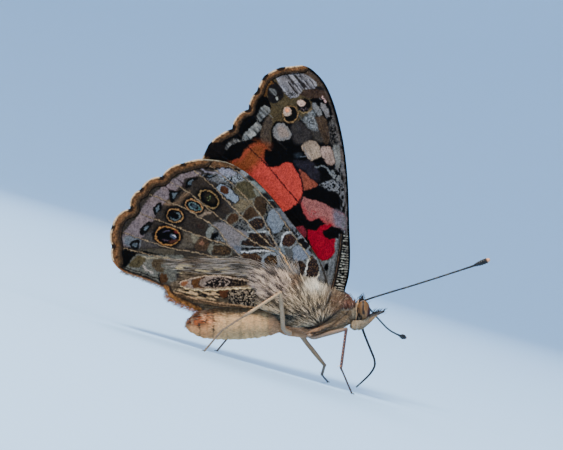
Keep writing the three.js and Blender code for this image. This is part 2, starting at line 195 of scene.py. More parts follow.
def read(items, field, kind=np.float32):
    """A field of three numbers of every vertex or triangle, as rows."""
    values = np.empty(len(items) * 3, kind)
    items.foreach_get(field, values)
    return values.reshape(-1, 3)


def mesh_of(name, points, triangles, colours=None, uv=None):
    """A mesh object from points in the insect's frame, with one colour a point if given."""
    mesh = bpy.data.meshes.new(name)
    triangles = np.asarray(triangles, np.int32)
    mesh.vertices.add(len(points))
    mesh.vertices.foreach_set("co", placed(points).astype(np.float32).ravel())
    mesh.loops.add(triangles.size)
    mesh.loops.foreach_set("vertex_index", triangles.ravel())
    mesh.polygons.add(len(triangles))
    mesh.polygons.foreach_set("loop_start", np.arange(0, triangles.size, 3, dtype=np.int32))
    mesh.update(calc_edges=True)
    mesh.polygons.foreach_set("use_smooth", np.ones(len(triangles), bool))
    if colours is not None:
        set_pattern(mesh, colours)
    if uv is not None:
        layer = mesh.uv_layers.new(name="OFBake")
        layer.data.foreach_set("uv", uv[triangles.ravel()].astype(np.float32).ravel())
    obj = bpy.data.objects.new(name, mesh)
    bpy.context.scene.collection.objects.link(obj)
    return obj


def finish_piece(obj, material, slot, *replaced):
    obj.data.materials.clear()
    obj.data.materials.append(material)
    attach(obj, "root")
    if replaced:
        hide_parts(*replaced)
    return obj


# Colours

# Screen values, and the light from a surface that the renderer's tone curve shows that way
TONE_SHOWN = (0, 15, 42, 65, 96, 118, 153, 184, 207, 227, 241, 255)
TONE_LIGHT = (0, 0.008, 0.03, 0.06, 0.12, 0.18, 0.35, 0.7, 1.4, 3.0, 6.0, 14.0)
STUDIO_LIGHT = 2.1  # light that a white surface sends back here
LIGHTEST = 0.92  # most of the light that any surface sends back


def linear(*rgb):
    """Colour as the photo shows it, 0 to 255, to the colour of a surface in this studio."""
    light = np.interp(rgb, TONE_SHOWN, TONE_LIGHT) / STUDIO_LIGHT
    return light * min(1, LIGHTEST / light.max())


def plain(colour, count):
    """The same colour at each of count points."""
    return np.tile(linear(*colour), (count, 1))


def tint(rgb, cover, colour):
    """Lays a colour over rows of colours, each by its own cover from 0 to 1."""
    rgb += (linear(*colour) - rgb) * np.clip(cover, 0, 1)[:, None]


# Materials

BUMP_STRENGTH = 0.5


def new_material(name, roughness, **settings):
    material = bpy.data.materials.new(name)
    material.use_nodes = True
    shader = material.node_tree.nodes["Principled BSDF"]
    shader.inputs["Roughness"].default_value = roughness
    for socket, value in settings.items():
        shader.inputs[socket.replace("_", " ")].default_value = value
    return material, shader


def node(material, kind, **inputs):
    made = material.node_tree.nodes.new(kind)
    for name, value in inputs.items():
        made.inputs[name.replace("_", " ")].default_value = value
    return made


def link(material, source, target):
    material.node_tree.links.new(source, target)


def varied(material, colour_out, texture_out, low, high):
    """The colour times a brightness between low and high that follows a texture."""
    ramp = node(material, "ShaderNodeMapRange")
    ramp.inputs["To Min"].default_value = low
    ramp.inputs["To Max"].default_value = high
    link(material, texture_out, ramp.inputs["Value"])
    scaled = material.node_tree.nodes.new("ShaderNodeVectorMath")
    scaled.operation = "SCALE"
    link(material, colour_out, scaled.inputs[0])
    link(material, ramp.outputs["Result"], scaled.inputs["Scale"])
    return scaled.outputs["Vector"]


def bump(material, shader, texture_out, strength, depth):
    made = node(material, "ShaderNodeBump", Strength=strength, Distance=depth)
    link(material, texture_out, made.inputs["Height"])
    link(material, made.outputs["Normal"], shader.inputs["Normal"])


def painted_material(name, roughness, cell, low, high, relief, stretch=(1, 1, 1), **settings):
    """Painted by the pattern layer, broken up by cells such as scales or the ends of hairs.

    The cells are `cell` mm wide and `relief` mm deep, and each has its own brightness from low to high.
    """
    material, shader = new_material(name, roughness, **settings)
    pattern = node(material, "ShaderNodeAttribute")
    pattern.attribute_name = "pattern"
    place = node(material, "ShaderNodeTexCoord")
    squeezed = node(material, "ShaderNodeMapping", Rotation=(0, NOSE_UP, 0), Scale=stretch)
    link(material, place.outputs["Object"], squeezed.inputs["Vector"])
    cells = node(material, "ShaderNodeTexVoronoi", Scale=1 / (cell * MM))
    link(material, squeezed.outputs["Vector"], cells.inputs["Vector"])
    tone = node(material, "ShaderNodeSeparateColor")
    link(material, cells.outputs["Color"], tone.inputs["Color"])
    colour = varied(material, pattern.outputs["Color"], tone.outputs["Red"], low, high)
    link(material, colour, shader.inputs["Base Color"])
    bump(material, shader, cells.outputs["Distance"], BUMP_STRENGTH, relief * MM)
    return material


# Camera, floor and lights

PHOTO_SIZE = (563, 450)  # pixels
PHOTO_SCALE = 0.14  # mm in one pixel of the photo
ROOT_PIXEL = (320, 290)  # where the origin of the insect's frame is in the photo
CAMERA_DISTANCE = 420  # mm, from the plane between the wings
SENSOR_WIDTH = 36
CLIP = (0.01, 20)  # metres
FLOOR_COLOUR = (198, 212, 222)
FLOOR_FLAT = 1.0  # metres from the middle to where the floor starts to bend up
FLOOR_BEND = 0.5  # radius of that bend
FLOOR_WALL = 1.6  # how high the wall reaches
FLOOR_SIDES = 96
BEND_STEPS = 12
SKY_COLOUR = (1.0, 0.96, 0.9, 1)
SKY_STRENGTH = 0.7
AIM = (0, 0, 0.02)  # where the lights point
LIGHTS = {  # place, size in metres, watts and colour
    "key": ((-0.4, -0.5, 0.75), 0.3, 17, (1.0, 0.94, 0.84)),
    "fill": ((0.6, -0.5, 0.3), 0.6, 2.5, (1.0, 0.96, 0.9)),
    "back": ((-0.25, 0.6, 0.7), 0.4, 6, (1.0, 0.98, 0.95)),
}


def make_camera():
    """Square on to the closed wings, rolled so that the insect's own frame is upright."""
    x = (PHOTO_SIZE[0] / 2 - ROOT_PIXEL[0]) * PHOTO_SCALE
    z = (ROOT_PIXEL[1] - PHOTO_SIZE[1] / 2) * PHOTO_SCALE
    data = bpy.data.cameras.new("camera")
    data.sensor_width = SENSOR_WIDTH
    data.lens = SENSOR_WIDTH * CAMERA_DISTANCE / (PHOTO_SIZE[0] * PHOTO_SCALE)
    data.clip_start, data.clip_end = CLIP
    camera = bpy.data.objects.new("camera", data)
    bpy.context.scene.collection.objects.link(camera)
    right = Vector((math.cos(NOSE_UP), 0, math.sin(NOSE_UP)))
    up = Vector((-math.sin(NOSE_UP), 0, math.cos(NOSE_UP)))
    turn = Matrix((right, up, Vector((0, -1, 0)))).transposed().to_4x4()
    camera.matrix_world = Matrix.Translation(placed((x, -CAMERA_DISTANCE, z))) @ turn
    bpy.context.scene.camera = camera


def make_floor():
    """A pale round floor that curves up into a wall on every side."""
    profile = [(FLOOR_FLAT, 0.0)]
    for step in range(1, BEND_STEPS + 1):
        angle = step / BEND_STEPS * math.pi / 2
        profile.append((FLOOR_FLAT + FLOOR_BEND * math.sin(angle), FLOOR_BEND * (1 - math.cos(angle))))
    profile.append((FLOOR_FLAT + FLOOR_BEND, FLOOR_WALL))
    vertices, faces = [(0, 0, 0)], []
    for radius, height in profile:
        for side in range(FLOOR_SIDES):
            turn = side / FLOOR_SIDES * 2 * math.pi
            vertices.append((radius * math.cos(turn), radius * math.sin(turn), height))
    for side in range(FLOOR_SIDES):
        after = (side + 1) % FLOOR_SIDES
        faces.append((0, 1 + side, 1 + after))
        for ring in range(len(profile) - 1):
            low, high = 1 + ring * FLOOR_SIDES, 1 + (ring + 1) * FLOOR_SIDES
            faces.append((low + side, high + side, high + after, low + after))
    mesh = bpy.data.meshes.new("floor")
    mesh.from_pydata(vertices, [], faces)
    mesh.polygons.foreach_set("use_smooth", [True] * len(mesh.polygons))
    floor = bpy.data.objects.new("floor", mesh)
    bpy.context.scene.collection.objects.link(floor)
    material, shader = new_material("floor", 0.9)
    shader.inputs["Base Color"].default_value = (*linear(*FLOOR_COLOUR), 1)
    mesh.materials.append(material)


def make_lights():
    world = bpy.data.worlds.new("studio")
    world.use_nodes = True
    background = world.node_tree.nodes["Background"]
    background.inputs["Color"].default_value = SKY_COLOUR
    background.inputs["Strength"].default_value = SKY_STRENGTH
    bpy.context.scene.world = world
    for name, (place, size, power, colour) in LIGHTS.items():
        data = bpy.data.lights.new(name, "AREA")
        data.size, data.energy, data.color = size, power, colour
        light = bpy.data.objects.new(name, data)
        bpy.context.scene.collection.objects.link(light)
        light.location = place
        light.rotation_euler = (Vector(AIM) - Vector(place)).to_track_quat("-Z", "Y").to_euler()


make_camera()
make_floor()
make_lights()

# Wings: outlines and veins, as x, z in millimetres

FOREWING_Y = 0.42  # middle of the membrane from the plane between the wings
HINDWING_Y = 1.4
WING_THICKNESS = 0.14
FINE = 0.1  # spacing of the points on a wing's outer face, mm
COARSE = 0.3  # and on its inner face
PILLOW = 0.11  # how high the membrane bulges between two veins, and how far from a vein it starts to
PILLOW_WIDTH = 0.8
RIPPLE = 0.03
RIDGE = 0.05  # how high a vein stands out of it, and half the vein's width
RIDGE_WIDTH = 0.1

FOREWING_FRONT = [
    (0.2, -2.2), (1.6, -2.4), (3.0, -2.0), (3.5, 0), (4.05, 2.2), (4.22, 5), (4.1, 9), (3.95, 14),
    (3.6, 18.3), (3.0, 22), (1.95, 26), (0.6, 29), (-1.2, 30.9), (-2.5, 31.45),
]
FOREWING_TEETH = [  # x, z and how far the margin curves in up to the next tooth
    (-2.5, 31.45, 0), (-5.5, 31.15, 0.08), (-7.8, 29.95, 0.08), (-8.85, 27.8, 0.26), (-10.0, 25.3, 0.5),
    (-12.3, 22.55, 0.26), (-15.6, 20.3, 0), (-16.5, 18.4, 0),
]
FOREWING_BACK = [(-16.5, 18.4), (-12, 13.6), (-6, 6.6), (0.2, -2.2)]
FOREWING_VEINS = {
    "costa and subcosta": [(2.75, 0.2), (3.3, 5), (3.45, 11), (3.6, 16.8)],
    "radius, to R5": [(2.2, 0.2), (2.4, 5), (2.5, 10), (2.2, 14.5), (1.3, 19.5), (-0.6, 24.5),
                      (-2.9, 28.4), (-5.3, 31)],
    "R1": [(2.45, 12), (2.85, 17), (3.05, 21.2)],
    "R2": [(2.1, 15), (2.3, 20), (2.3, 24.3)],
    "R3": [(0.9, 20.8), (1.05, 25), (0.75, 28.6)],
    "R4": [(0.5, 22), (-0.6, 27.6), (-2.1, 31)],
    "M1": [(1.3, 16.4), (-0.3, 20.2), (-2.6, 24), (-5.2, 27.5), (-7.6, 29.7)],
    "M2": [(0.2, 16), (-1.9, 19.5), (-4.2, 23.2), (-6.6, 26), (-8.6, 27.6)],
    "M3": [(-2.5, 13.9), (-3, 16.3), (-5.2, 19.8), (-8, 23.2), (-9.8, 25.1)],
    "cubitus, to CuA1": [(1.6, 0), (0.1, 3), (-1.3, 6), (-2.1, 9.2), (-2.95, 12.2), (-5, 14.7),
                         (-8.2, 18.3), (-12.1, 22.3)],
    "CuA2": [(-1.9, 8.6), (-6, 12.6), (-15.3, 20)],
    "anal vein": [(1, 0), (-5, 7), (-11, 13.4), (-16, 18.6)],
}
HINDWING_FRONT = [
    (0.2, -2.6), (1.15, -1), (1.05, 1), (0.3, 3.4), (-1.2, 5.9), (-4, 9.5), (-7, 13.3), (-10, 16.2),
    (-13, 17.85), (-16.4, 18.35),
]
HINDWING_TEETH = [
    (-16.4, 18.35, 0.1), (-19.2, 17.7, 0.38), (-22.1, 15.85, 0.46), (-25.05, 14.1, 0.5), (-26.5, 11.4, 0.5),
    (-29.1, 8.8, 0.24), (-29.05, 6.1, 0.16), (-28.95, 4, 0),
]
HINDWING_BACK = [
    [(-28.95, 4), (-27.6, 2.65), (-24, 1.35), (-21.6, 0.2), (-20.8, -1.1), (-17, -2.9)],
    [(-17, -2.9), (-13, -2.4), (-9, -2.7), (-5.5, -3.4), (-2.5, -3.4), (0.2, -2.6)],
]
HINDWING_VEINS = {
    "Sc and R1": [(-1.4, 4.2), (-2.2, 5.6), (-4, 8), (-5.8, 10.6), (-8.3, 13.5), (-10.7, 15.9),
                  (-13, 17.4)],
    "radius, to Rs": [(-2.6, 0.7), (-4.6, 3.9), (-5.7, 5.7), (-6.6, 7.2), (-8, 10), (-9.4, 11.8),
                      (-12.2, 14.8), (-16, 17.9)],
    "M1": [(-6, 5.6), (-8.2, 7.4), (-9.9, 9.2), (-13, 12.4), (-14.6, 14.1), (-17, 16.2), (-19, 17.4)],
    "M2": [(-6.4, 5.4), (-7.6, 5.9), (-10, 7.2), (-13, 9.4), (-15.3, 11.1), (-18.4, 13.7), (-21.9, 15.6)],
    "M3": [(-12.7, 6.1), (-13.6, 7.6), (-14.6, 8.8), (-17, 10.3), (-19, 11.5), (-22, 12.6), (-24.8, 13.9)],
    "cubitus, to CuA1": [
        (-3.2, 0.2), (-6.8, 1.6), (-9.8, 3.7), (-12.7, 6.1), (-15, 6.9), (-18, 8), (-20.5, 9), (-23, 9.9),
        (-26.2, 11.2),
    ],
    "CuA2": [(-9.8, 3.6), (-13, 4.2), (-17, 5.2), (-21, 5.9), (-25, 7.2), (-28.8, 8.5)],
    "1A and 2A": [(-4, 0), (-7, 1.4), (-11, 2.7), (-15, 3.7), (-19, 4.1), (-23, 4.7), (-25.5, 5.4),
                  (-28.7, 6.1)],
    "3A": [(-5, -0.6), (-7, 0.2), (-10, 0.5), (-15, 0.3), (-20.4, 0.1)],
}


def scalloped(teeth):
    """The outer margin, curved in between one vein's tooth and the next."""
    points = []
    for (*a, depth), (*b, _) in zip(teeth[:-1], teeth[1:]):
        a, b = np.array(a), np.array(b)
        inward = np.array([b[1] - a[1], a[0] - b[0]]) / np.linalg.norm(b - a)
        dips = [a + (b - a) * share + inward * depth for share in (0.3, 0.7)]
        points.append(spline([a, *dips, b], 8)[:-1])
    return np.concatenate([*points, [teeth[-1][:2]]])


def outline_of(front, teeth, *back):
    """The closed outline of a wing, in even steps, without its first point repeated."""
    stretches = [spline(front, 8), scalloped(teeth), *[spline(part, 8) for part in back]]
    return np.concatenate([evenly(part, FINE)[:-1] for part in stretches])


def spread(x, z):
    """How far the wings stand out over the body to make room for it."""
    share = smoothstep(x, -22, -3) * 0.75 + 0.25
    height = np.maximum(0, z + 2.2) / 2.6
    return 1.1 * share * np.exp(-height * height)


def net_over(outline, spacing):
    """Flat points in even rows inside an outline, joined in triangles. The outline's come first."""
    low, high = outline.min(0), outline.max(0)
    columns = np.arange(low[0], high[0], spacing)
    rows = np.arange(low[1], high[1], spacing * math.sqrt(3) / 2)
    x, z = np.meshgrid(columns, rows)
    x[1::2] += spacing / 2
    x, z = x.ravel(), z.ravel()
    coarse_loop = outline[::2]
    keep = is_inside(x, z, coarse_loop)
    x, z = x[keep], z[keep]
    edge, _ = distance_to_line(x, z, np.concatenate([coarse_loop, coarse_loop[:1]]))
    keep = edge > spacing * 0.55
    points = np.concatenate([outline, np.stack([x[keep], z[keep]], 1)])
    n = len(outline)
    loop = [(i, (i + 1) % n) for i in range(n)]
    found = delaunay_2d_cdt([Vector(p) for p in points], loop, [], 1, 1e-7)
    points = np.array([tuple(p) for p in found[0]])
    return points, np.array(found[2])


def half_thickness(flat, outline):
    """Half the membrane's thickness, thinner at the margin, and the distance to the margin."""
    edge, _ = distance_to_line(*flat.T, np.concatenate([outline, outline[:1]])[::3])
    return WING_THICKNESS / 2 * smoothstep(edge, -0.5, 0.6), edge


def facing(points, faces, way):
    """The faces, with those turned over whose flat area doesn't have the sign of `way`."""
    a, b, c = points[faces[:, 0]], points[faces[:, 1]], points[faces[:, 2]]
    area = (b[:, 0] - a[:, 0]) * (c[:, 1] - a[:, 1]) - (b[:, 1] - a[:, 1]) * (c[:, 0] - a[:, 0])
    wrong = area * way < 0
    faces[wrong] = faces[wrong][:, ::-1]
    return faces


def wing_shape(outline, veins, middle, side):
    """Points and triangles of one wing, and how many of the points are on its outer face."""
    outer, outer_faces = net_over(outline, FINE)
    inner, inner_faces = net_over(outline, COARSE)
    half, edge = half_thickness(outer, outline)
    depth, _ = half_thickness(inner, outline)
    near = np.min([distance_to_line(*outer.T, spline(vein, 4))[0] for vein in veins.values()], 0)
    pillow = PILLOW * (1 - np.exp(-((near / PILLOW_WIDTH) ** 2))) * smoothstep(edge, 0.2, 2.0)
    ripple = RIPPLE * noise(*outer.T, 0.9, 5) * smoothstep(edge, 0.1, 1.0)
    ridge = RIDGE * np.exp(-((near / RIDGE_WIDTH) ** 2)) * smoothstep(edge, 0, 0.3)
    y_outer = middle + spread(*outer.T) + (half + pillow + ripple + ridge)
    y_inner = middle + spread(*inner.T) - depth
    points = np.concatenate([
        np.stack([outer[:, 0], side * y_outer, outer[:, 1]], 1),
        np.stack([inner[:, 0], side * y_inner, inner[:, 1]], 1),
    ])
    count = len(outer)
    i = np.arange(len(outline))
    j = (i + 1) % len(outline)
    rim = np.concatenate([np.stack([i, j, j + count], 1), np.stack([i, j + count, i + count], 1)])
    if not turns_left(outline):
        rim = rim[:, ::-1]
    triangles = np.concatenate([facing(outer, outer_faces, -1), facing(inner, inner_faces, 1) + count, rim])
    if side < 0:
        triangles = triangles[:, ::-1]
    return points, triangles, count


def turns_left(loop):
    after = np.roll(loop, -1, axis=0)
    return (loop[:, 0] * after[:, 1] - after[:, 0] * loop[:, 1]).sum() > 0


# Wings: painting

# How much darker the scales are, in red, green, blue, than their brightest points, which the marks give
WING_DEPTH = np.array((0.65, 0.63, 0.53))
BLACK = (6, 5, 6)
FRINGE = (210, 198, 186)


class Canvas:
    """Colours laid over the points of a wing, one mark after another."""

    def __init__(self, points, base, seed):
        self.x, self.z = points[:, 0], points[:, 1]
        self.seed = seed
        self.wx, self.wz = self.strayed(self.x, seed), self.strayed(self.z, seed + 2)
        self.rgb = np.tile(linear(*base) * WING_DEPTH, (len(points), 1))

    def strayed(self, here, seed):
        """Where the points count as, so that the marks' edges wander a little."""
        broad, fine = noise(self.x, self.z, 0.34, seed), noise(self.x, self.z, 0.13, seed + 1)
        return here + 0.09 * broad + 0.08 * fine

    def lay(self, where, cover, colour, mottle=0.2, streak=None):
        """Covers points with a colour, mottled, or streaked along an angle in degrees."""
        self.seed += 4
        x, z = self.x[where], self.z[where]
        shade = 1 + mottle * noise(x, z, 0.35, self.seed) + mottle * noise(x, z, 0.15, self.seed + 1)
        if streak is not None:
            angle, depth = math.radians(streak[0]), streak[1]
            across = z * math.cos(angle) - x * math.sin(angle)
            along = x * math.cos(angle) + z * math.sin(angle)
            shade = shade * (1 + depth * noise(across, along * 0.12, 0.17, self.seed + 2))
        colour = linear(*colour)[None, :] * WING_DEPTH * np.clip(shade, 0.15, 2.5)[:, None]
        self.rgb[where] += (colour - self.rgb[where]) * cover[:, None]

    def around(self, points, room):
        low, high = np.min(points, 0) - room, np.max(points, 0) + room
        inside = (self.x > low[0]) & (self.x < high[0]) & (self.z > low[1]) & (self.z < high[1])
        return np.nonzero(inside)[0]

    def signed(self, loop, where):
        """Distance to a closed outline, negative inside it."""
        x, z = self.wx[where], self.wz[where]
        d, _ = distance_to_line(x, z, np.concatenate([loop, loop[:1]]))
        return np.where(is_inside(x, z, loop), -d, d)

    def patch(self, points, colour, soft=0.07, **looks):
        """A field inside a closed outline, blurred by `soft` mm at its edge."""
        loop = spline(points, 4, closed=True)
        where = self.around(loop, soft + 0.3)
        self.lay(where, fade(self.signed(loop, where), -soft, soft), colour, **looks)

    def outlined(self, points, width, colour, soft=0.06, **looks):
        """A line drawn round a closed outline."""
        loop = spline(points, 4, closed=True)
        where = self.around(loop, width + 0.3)
        d = np.abs(self.signed(loop, where)) - width / 2
        self.lay(where, fade(d, -soft, soft), colour, **looks)

    def oval(self, middle, size, tilt, colour, soft=0.07, hollow=0.0, **looks):
        """An oval, or only a ring of the given width just inside its edge."""
        where = self.around([middle], max(size) + 0.5)
        a = math.radians(tilt)
        dx, dz = self.wx[where] - middle[0], self.wz[where] - middle[1]
        u, v = dx * math.cos(a) + dz * math.sin(a), dz * math.cos(a) - dx * math.sin(a)
        reach = np.hypot(u / size[0], v / size[1])
        d = (reach - 1) * np.hypot(u, v) / np.maximum(reach, 1e-6)
        if hollow:
            d = np.abs(d + hollow / 2) - hollow / 2
        self.lay(where, fade(d, -soft, soft), colour, **looks)

    def stroke(self, points, width, colour, end_width=None, soft=0.06, cover=1.0, **looks):
        """A line that may narrow to another width at its end."""
        line = spline(points, 4)
        where = self.around(line, width + 0.3)
        d, along = distance_to_line(self.wx[where], self.wz[where], line)
        broad = width + ((end_width if end_width is not None else width) - width) * along
        self.lay(where, cover * fade(d - broad / 2, -soft, soft), colour, **looks)

    def speckle(self, points, colour, share, cell=0.22, stretch=(1, 1), angle=0, **looks):
        """Specks of colour over a share of the room inside an outline."""
        loop = spline(points, 4, closed=True)
        where = self.around(loop, 0.3)
        x, z = self.x[where], self.z[where]
        a = math.radians(angle)
        u, v = x * math.cos(a) + z * math.sin(a), z * math.cos(a) - x * math.sin(a)
        self.seed += 4
        field = noise(u / stretch[0], v / stretch[1], cell, self.seed)
        level = 0.75 - 1.5 * share
        inner = fade(self.signed(loop, where), -0.2, 0.1)
        self.lay(where, inner * smoothstep(field, level - 0.12, level + 0.12), colour, **looks)

    def band(self, distance, low, high, colour, soft=0.06, cover=1.0, **looks):
        """A band at a distance from a line, such as the wing's margin."""
        where = np.nonzero((distance > low - 0.4) & (distance < high + 0.4))[0]
        d = distance[where] + 0.06 * noise(self.x[where], self.z[where], 0.25, self.seed)
        inner = smoothstep(d, low - soft, low + soft) * fade(d, high - soft, high + soft)
        self.lay(where, cover * inner, colour, **looks)


def paint_margin(canvas, teeth, room, gap):
    """A brown edge `room` mm wide, up to a black line, with a pale fringe outside it.

    The fringe is dark for `gap` mm beside each vein.
    """
    edge, _ = distance_to_line(canvas.x, canvas.z, scalloped(teeth))
    edge *= 1 - 0.2 * smoothstep(-canvas.x, 26.6, 28)  # broader at the rear corner
    tooth = np.min([np.hypot(canvas.x - x, canvas.z - z) for x, z, _ in teeth[1:-1]], 0)
    canvas.band(edge, room, room + 0.2, BLACK)
    canvas.band(edge, -1, room, (96, 70, 50), mottle=0.4)
    canvas.band(edge, 0.2, 0.62 * room, (154, 108, 70), soft=0.2, cover=0.75, mottle=0.7)
    canvas.band(edge, 0.78 * room, room, (52, 37, 30), soft=0.1, cover=0.75)
    between_teeth = edge + 0.9 * smoothstep(tooth, 0.3, 1.0)
    canvas.band(between_teeth, -1, 0.66, (38, 27, 23), soft=0.12, cover=0.9)
    canvas.band(edge, -1, 0.17, FRINGE, mottle=0.15)
    canvas.band(edge + 0.6 * smoothstep(tooth, gap * 0.6, gap), -1, 0.34, (40, 28, 24))


def shrunk(loop, share):
    """A closed outline drawn smaller about its middle."""
    middle = np.mean(loop, 0)
    return [tuple(middle + (np.array(p) - middle) * share) for p in loop]


def paint_disc(c):
    """The disc, speckled grey."""
    disc = [(-13.6, 17.3), (-10, 16), (-5, 10.6), (-1.2, 5.6), (0.4, 2.5), (0, 0), (-5, 1), (-9.5, 3.6),
            (-13, 6.2), (-15.6, 9.2), (-14.2, 11.2), (-12.6, 13.6), (-15.4, 15.6)]
    c.patch(disc, (112, 109, 113), mottle=0.35)
    c.speckle([(-13, 16.5), (-10, 15.4), (-5, 10), (-0.6, 4.6), (-0.6, 1), (-5, 1.5), (-9, 4), (-13, 6.8),
               (-14.5, 9), (-12.5, 12)], (32, 28, 30), 0.45, cell=0.18)


def paint_front_edge(c):
    """Brown front edge with its grey spots."""
    c.patch([(-17.4, 17.9), (-15, 18.1), (-13, 17.7), (-11, 16.9), (-10.3, 16.2), (-12, 16.8), (-14, 17.0),
             (-16.4, 17.0)], (116, 78, 54), streak=(-10, 0.4), mottle=0.3)
    c.stroke([(-16.2, 17.1), (-14.6, 16.95), (-13.2, 17.05), (-11.6, 16.75), (-10.5, 16.3)], 0.3,
             (22, 18, 19))
    c.patch([(-14.3, 16.5), (-13.8, 17.1), (-12.8, 16.9), (-12, 16.6), (-11.7, 16.2), (-12.6, 15.9),
             (-14, 15.9)], (158, 156, 168), mottle=0.25)
    c.patch([(-11.3, 16.5), (-10.7, 16.7), (-10, 16.1), (-10.7, 15.8), (-11.4, 16.0)], (160, 160, 168))
    c.stroke([(-17, 17.2), (-16.5, 16.85), (-15.9, 16.55), (-14.9, 16.4), (-14.2, 16.5)], 0.2,
             (160, 154, 164))
    c.speckle([(-14.2, 15.6), (-13, 16.2), (-10.8, 15.9), (-10.5, 15.1), (-12.5, 14.9)], (160, 162, 172),
              0.5, cell=0.15)
    c.speckle([(-17, 15.9), (-15.4, 16.2), (-13.9, 15.7), (-13.4, 14.9), (-15, 15)], (134, 130, 140), 0.4,
              cell=0.16)


def paint_outer_cells(c):
    """Olive and brown cells of the outer disc."""
    c.patch([(-12.3, 12), (-11.6, 12.9), (-10.6, 12.9), (-9.2, 12.5), (-9, 11.9), (-9.7, 11.8),
             (-10.8, 10.9), (-11.9, 10.9), (-12.9, 10.7)], (136, 122, 100), soft=0.2, mottle=0.3)
    for cell, colour in (([(-12.1, 14.2), (-10.9, 15.2), (-9.6, 15), (-9, 14.2), (-8.9, 13.4),
                           (-9.4, 12.8), (-10.4, 12.7), (-11.4, 13.3)], (98, 86, 64)), ([(-9.2, 12.4),
                                                                                         (-8.8, 13.1),
                                                                                         (-8, 13),
                                                                                         (-7.5, 12.4),
                                                                                         (-7.5, 11.2),
                                                                                         (-8.1, 10.3),
                                                                                         (-9, 11.1)],
                                                                                        (76, 55, 40)),
                         ([(-11, 10.1), (-10.3, 11.2), (-9.6, 11.7), (-8.9, 11), (-8.5, 10.2),
                           (-9.6, 9.8)], (80, 58, 43)), ([(-13.1, 9.7), (-12.6, 10.5), (-11.8, 10.7),
                                                          (-11.3, 10.2), (-11.7, 9.5), (-12.7, 9.2)],
                                                         (86, 58, 42)), ([(-15.1, 5.0), (-15.1, 6.1),
                                                                          (-13.8, 6.3), (-12.6, 5.9),
                                                                          (-12.5, 5), (-13.6, 4.7)],
                                                                         (66, 50, 38)),):
        c.outlined(cell, 0.3, (136, 130, 124))
        c.patch(cell, colour, mottle=0.35)
    c.patch([(-13.9, 12.2), (-12.6, 12.4), (-11.8, 11.4), (-12.3, 10.8), (-13.4, 10.9)], (72, 66, 68),
            soft=0.2)
    c.speckle([(-14.9, 5.2), (-14.7, 6), (-12.8, 5.8), (-12.8, 5.1)], (122, 88, 60), 0.4, cell=0.13)


def paint_eyespot_ground(c):
    """The dark ground that the eyespots lie on."""
    c.patch([(-19, 16), (-17.4, 15.9), (-15.6, 15.4), (-14.3, 14.4), (-13.3, 12.5), (-12.6, 10.9),
             (-14.2, 9.6), (-16, 9.1), (-15.2, 7), (-17.6, 5.6), (-21, 5.9), (-24.6, 5.9), (-25.1, 7),
             (-23.4, 10), (-22, 12.4), (-20.6, 14.2)], (60, 49, 45), soft=0.2, mottle=0.25)
    c.patch([(-24.9, 6.9), (-24.2, 7.8), (-23.4, 8.1), (-22.9, 6.8), (-22, 6.1), (-24.8, 6)], (84, 76, 78),
            soft=0.25)
    c.patch([(-21.9, 12.1), (-21.2, 12.5), (-20.2, 12.3), (-19, 13.5), (-18.1, 13.9), (-18.6, 13),
             (-19.6, 12), (-20.8, 11.8)], (134, 108, 86), soft=0.2, streak=(40, 0.35))
    c.patch([(-17.3, 10.8), (-16.3, 11.1), (-15.1, 11), (-15.5, 10.6), (-16.7, 10.3)], (166, 150, 134),
            soft=0.12)
    c.patch([(-19.6, 8.2), (-18, 7.9), (-17.3, 6.6), (-17.9, 5.9), (-19.8, 6), (-19.7, 7)], (108, 94, 82),
            soft=0.2, mottle=0.3)
    c.patch([(-18, 8), (-17.2, 7.7), (-16.9, 7.2), (-17.4, 6.5), (-17.8, 7.1)], (146, 136, 124), soft=0.12)
    c.patch([(-17.5, 6), (-17.1, 7.0), (-16.4, 7.3), (-15.7, 6.9), (-15.4, 6.2), (-16, 5.5), (-17, 5.5)],
            (88, 64, 48), mottle=0.3)
    c.patch([(-16.9, 6.5), (-16.5, 6.95), (-16.1, 6.5), (-16.5, 6.2)], (146, 104, 82))
    c.oval((-16.6, 8.9), (0.42, 0.32), 0, (70, 42, 38), hollow=0.14)


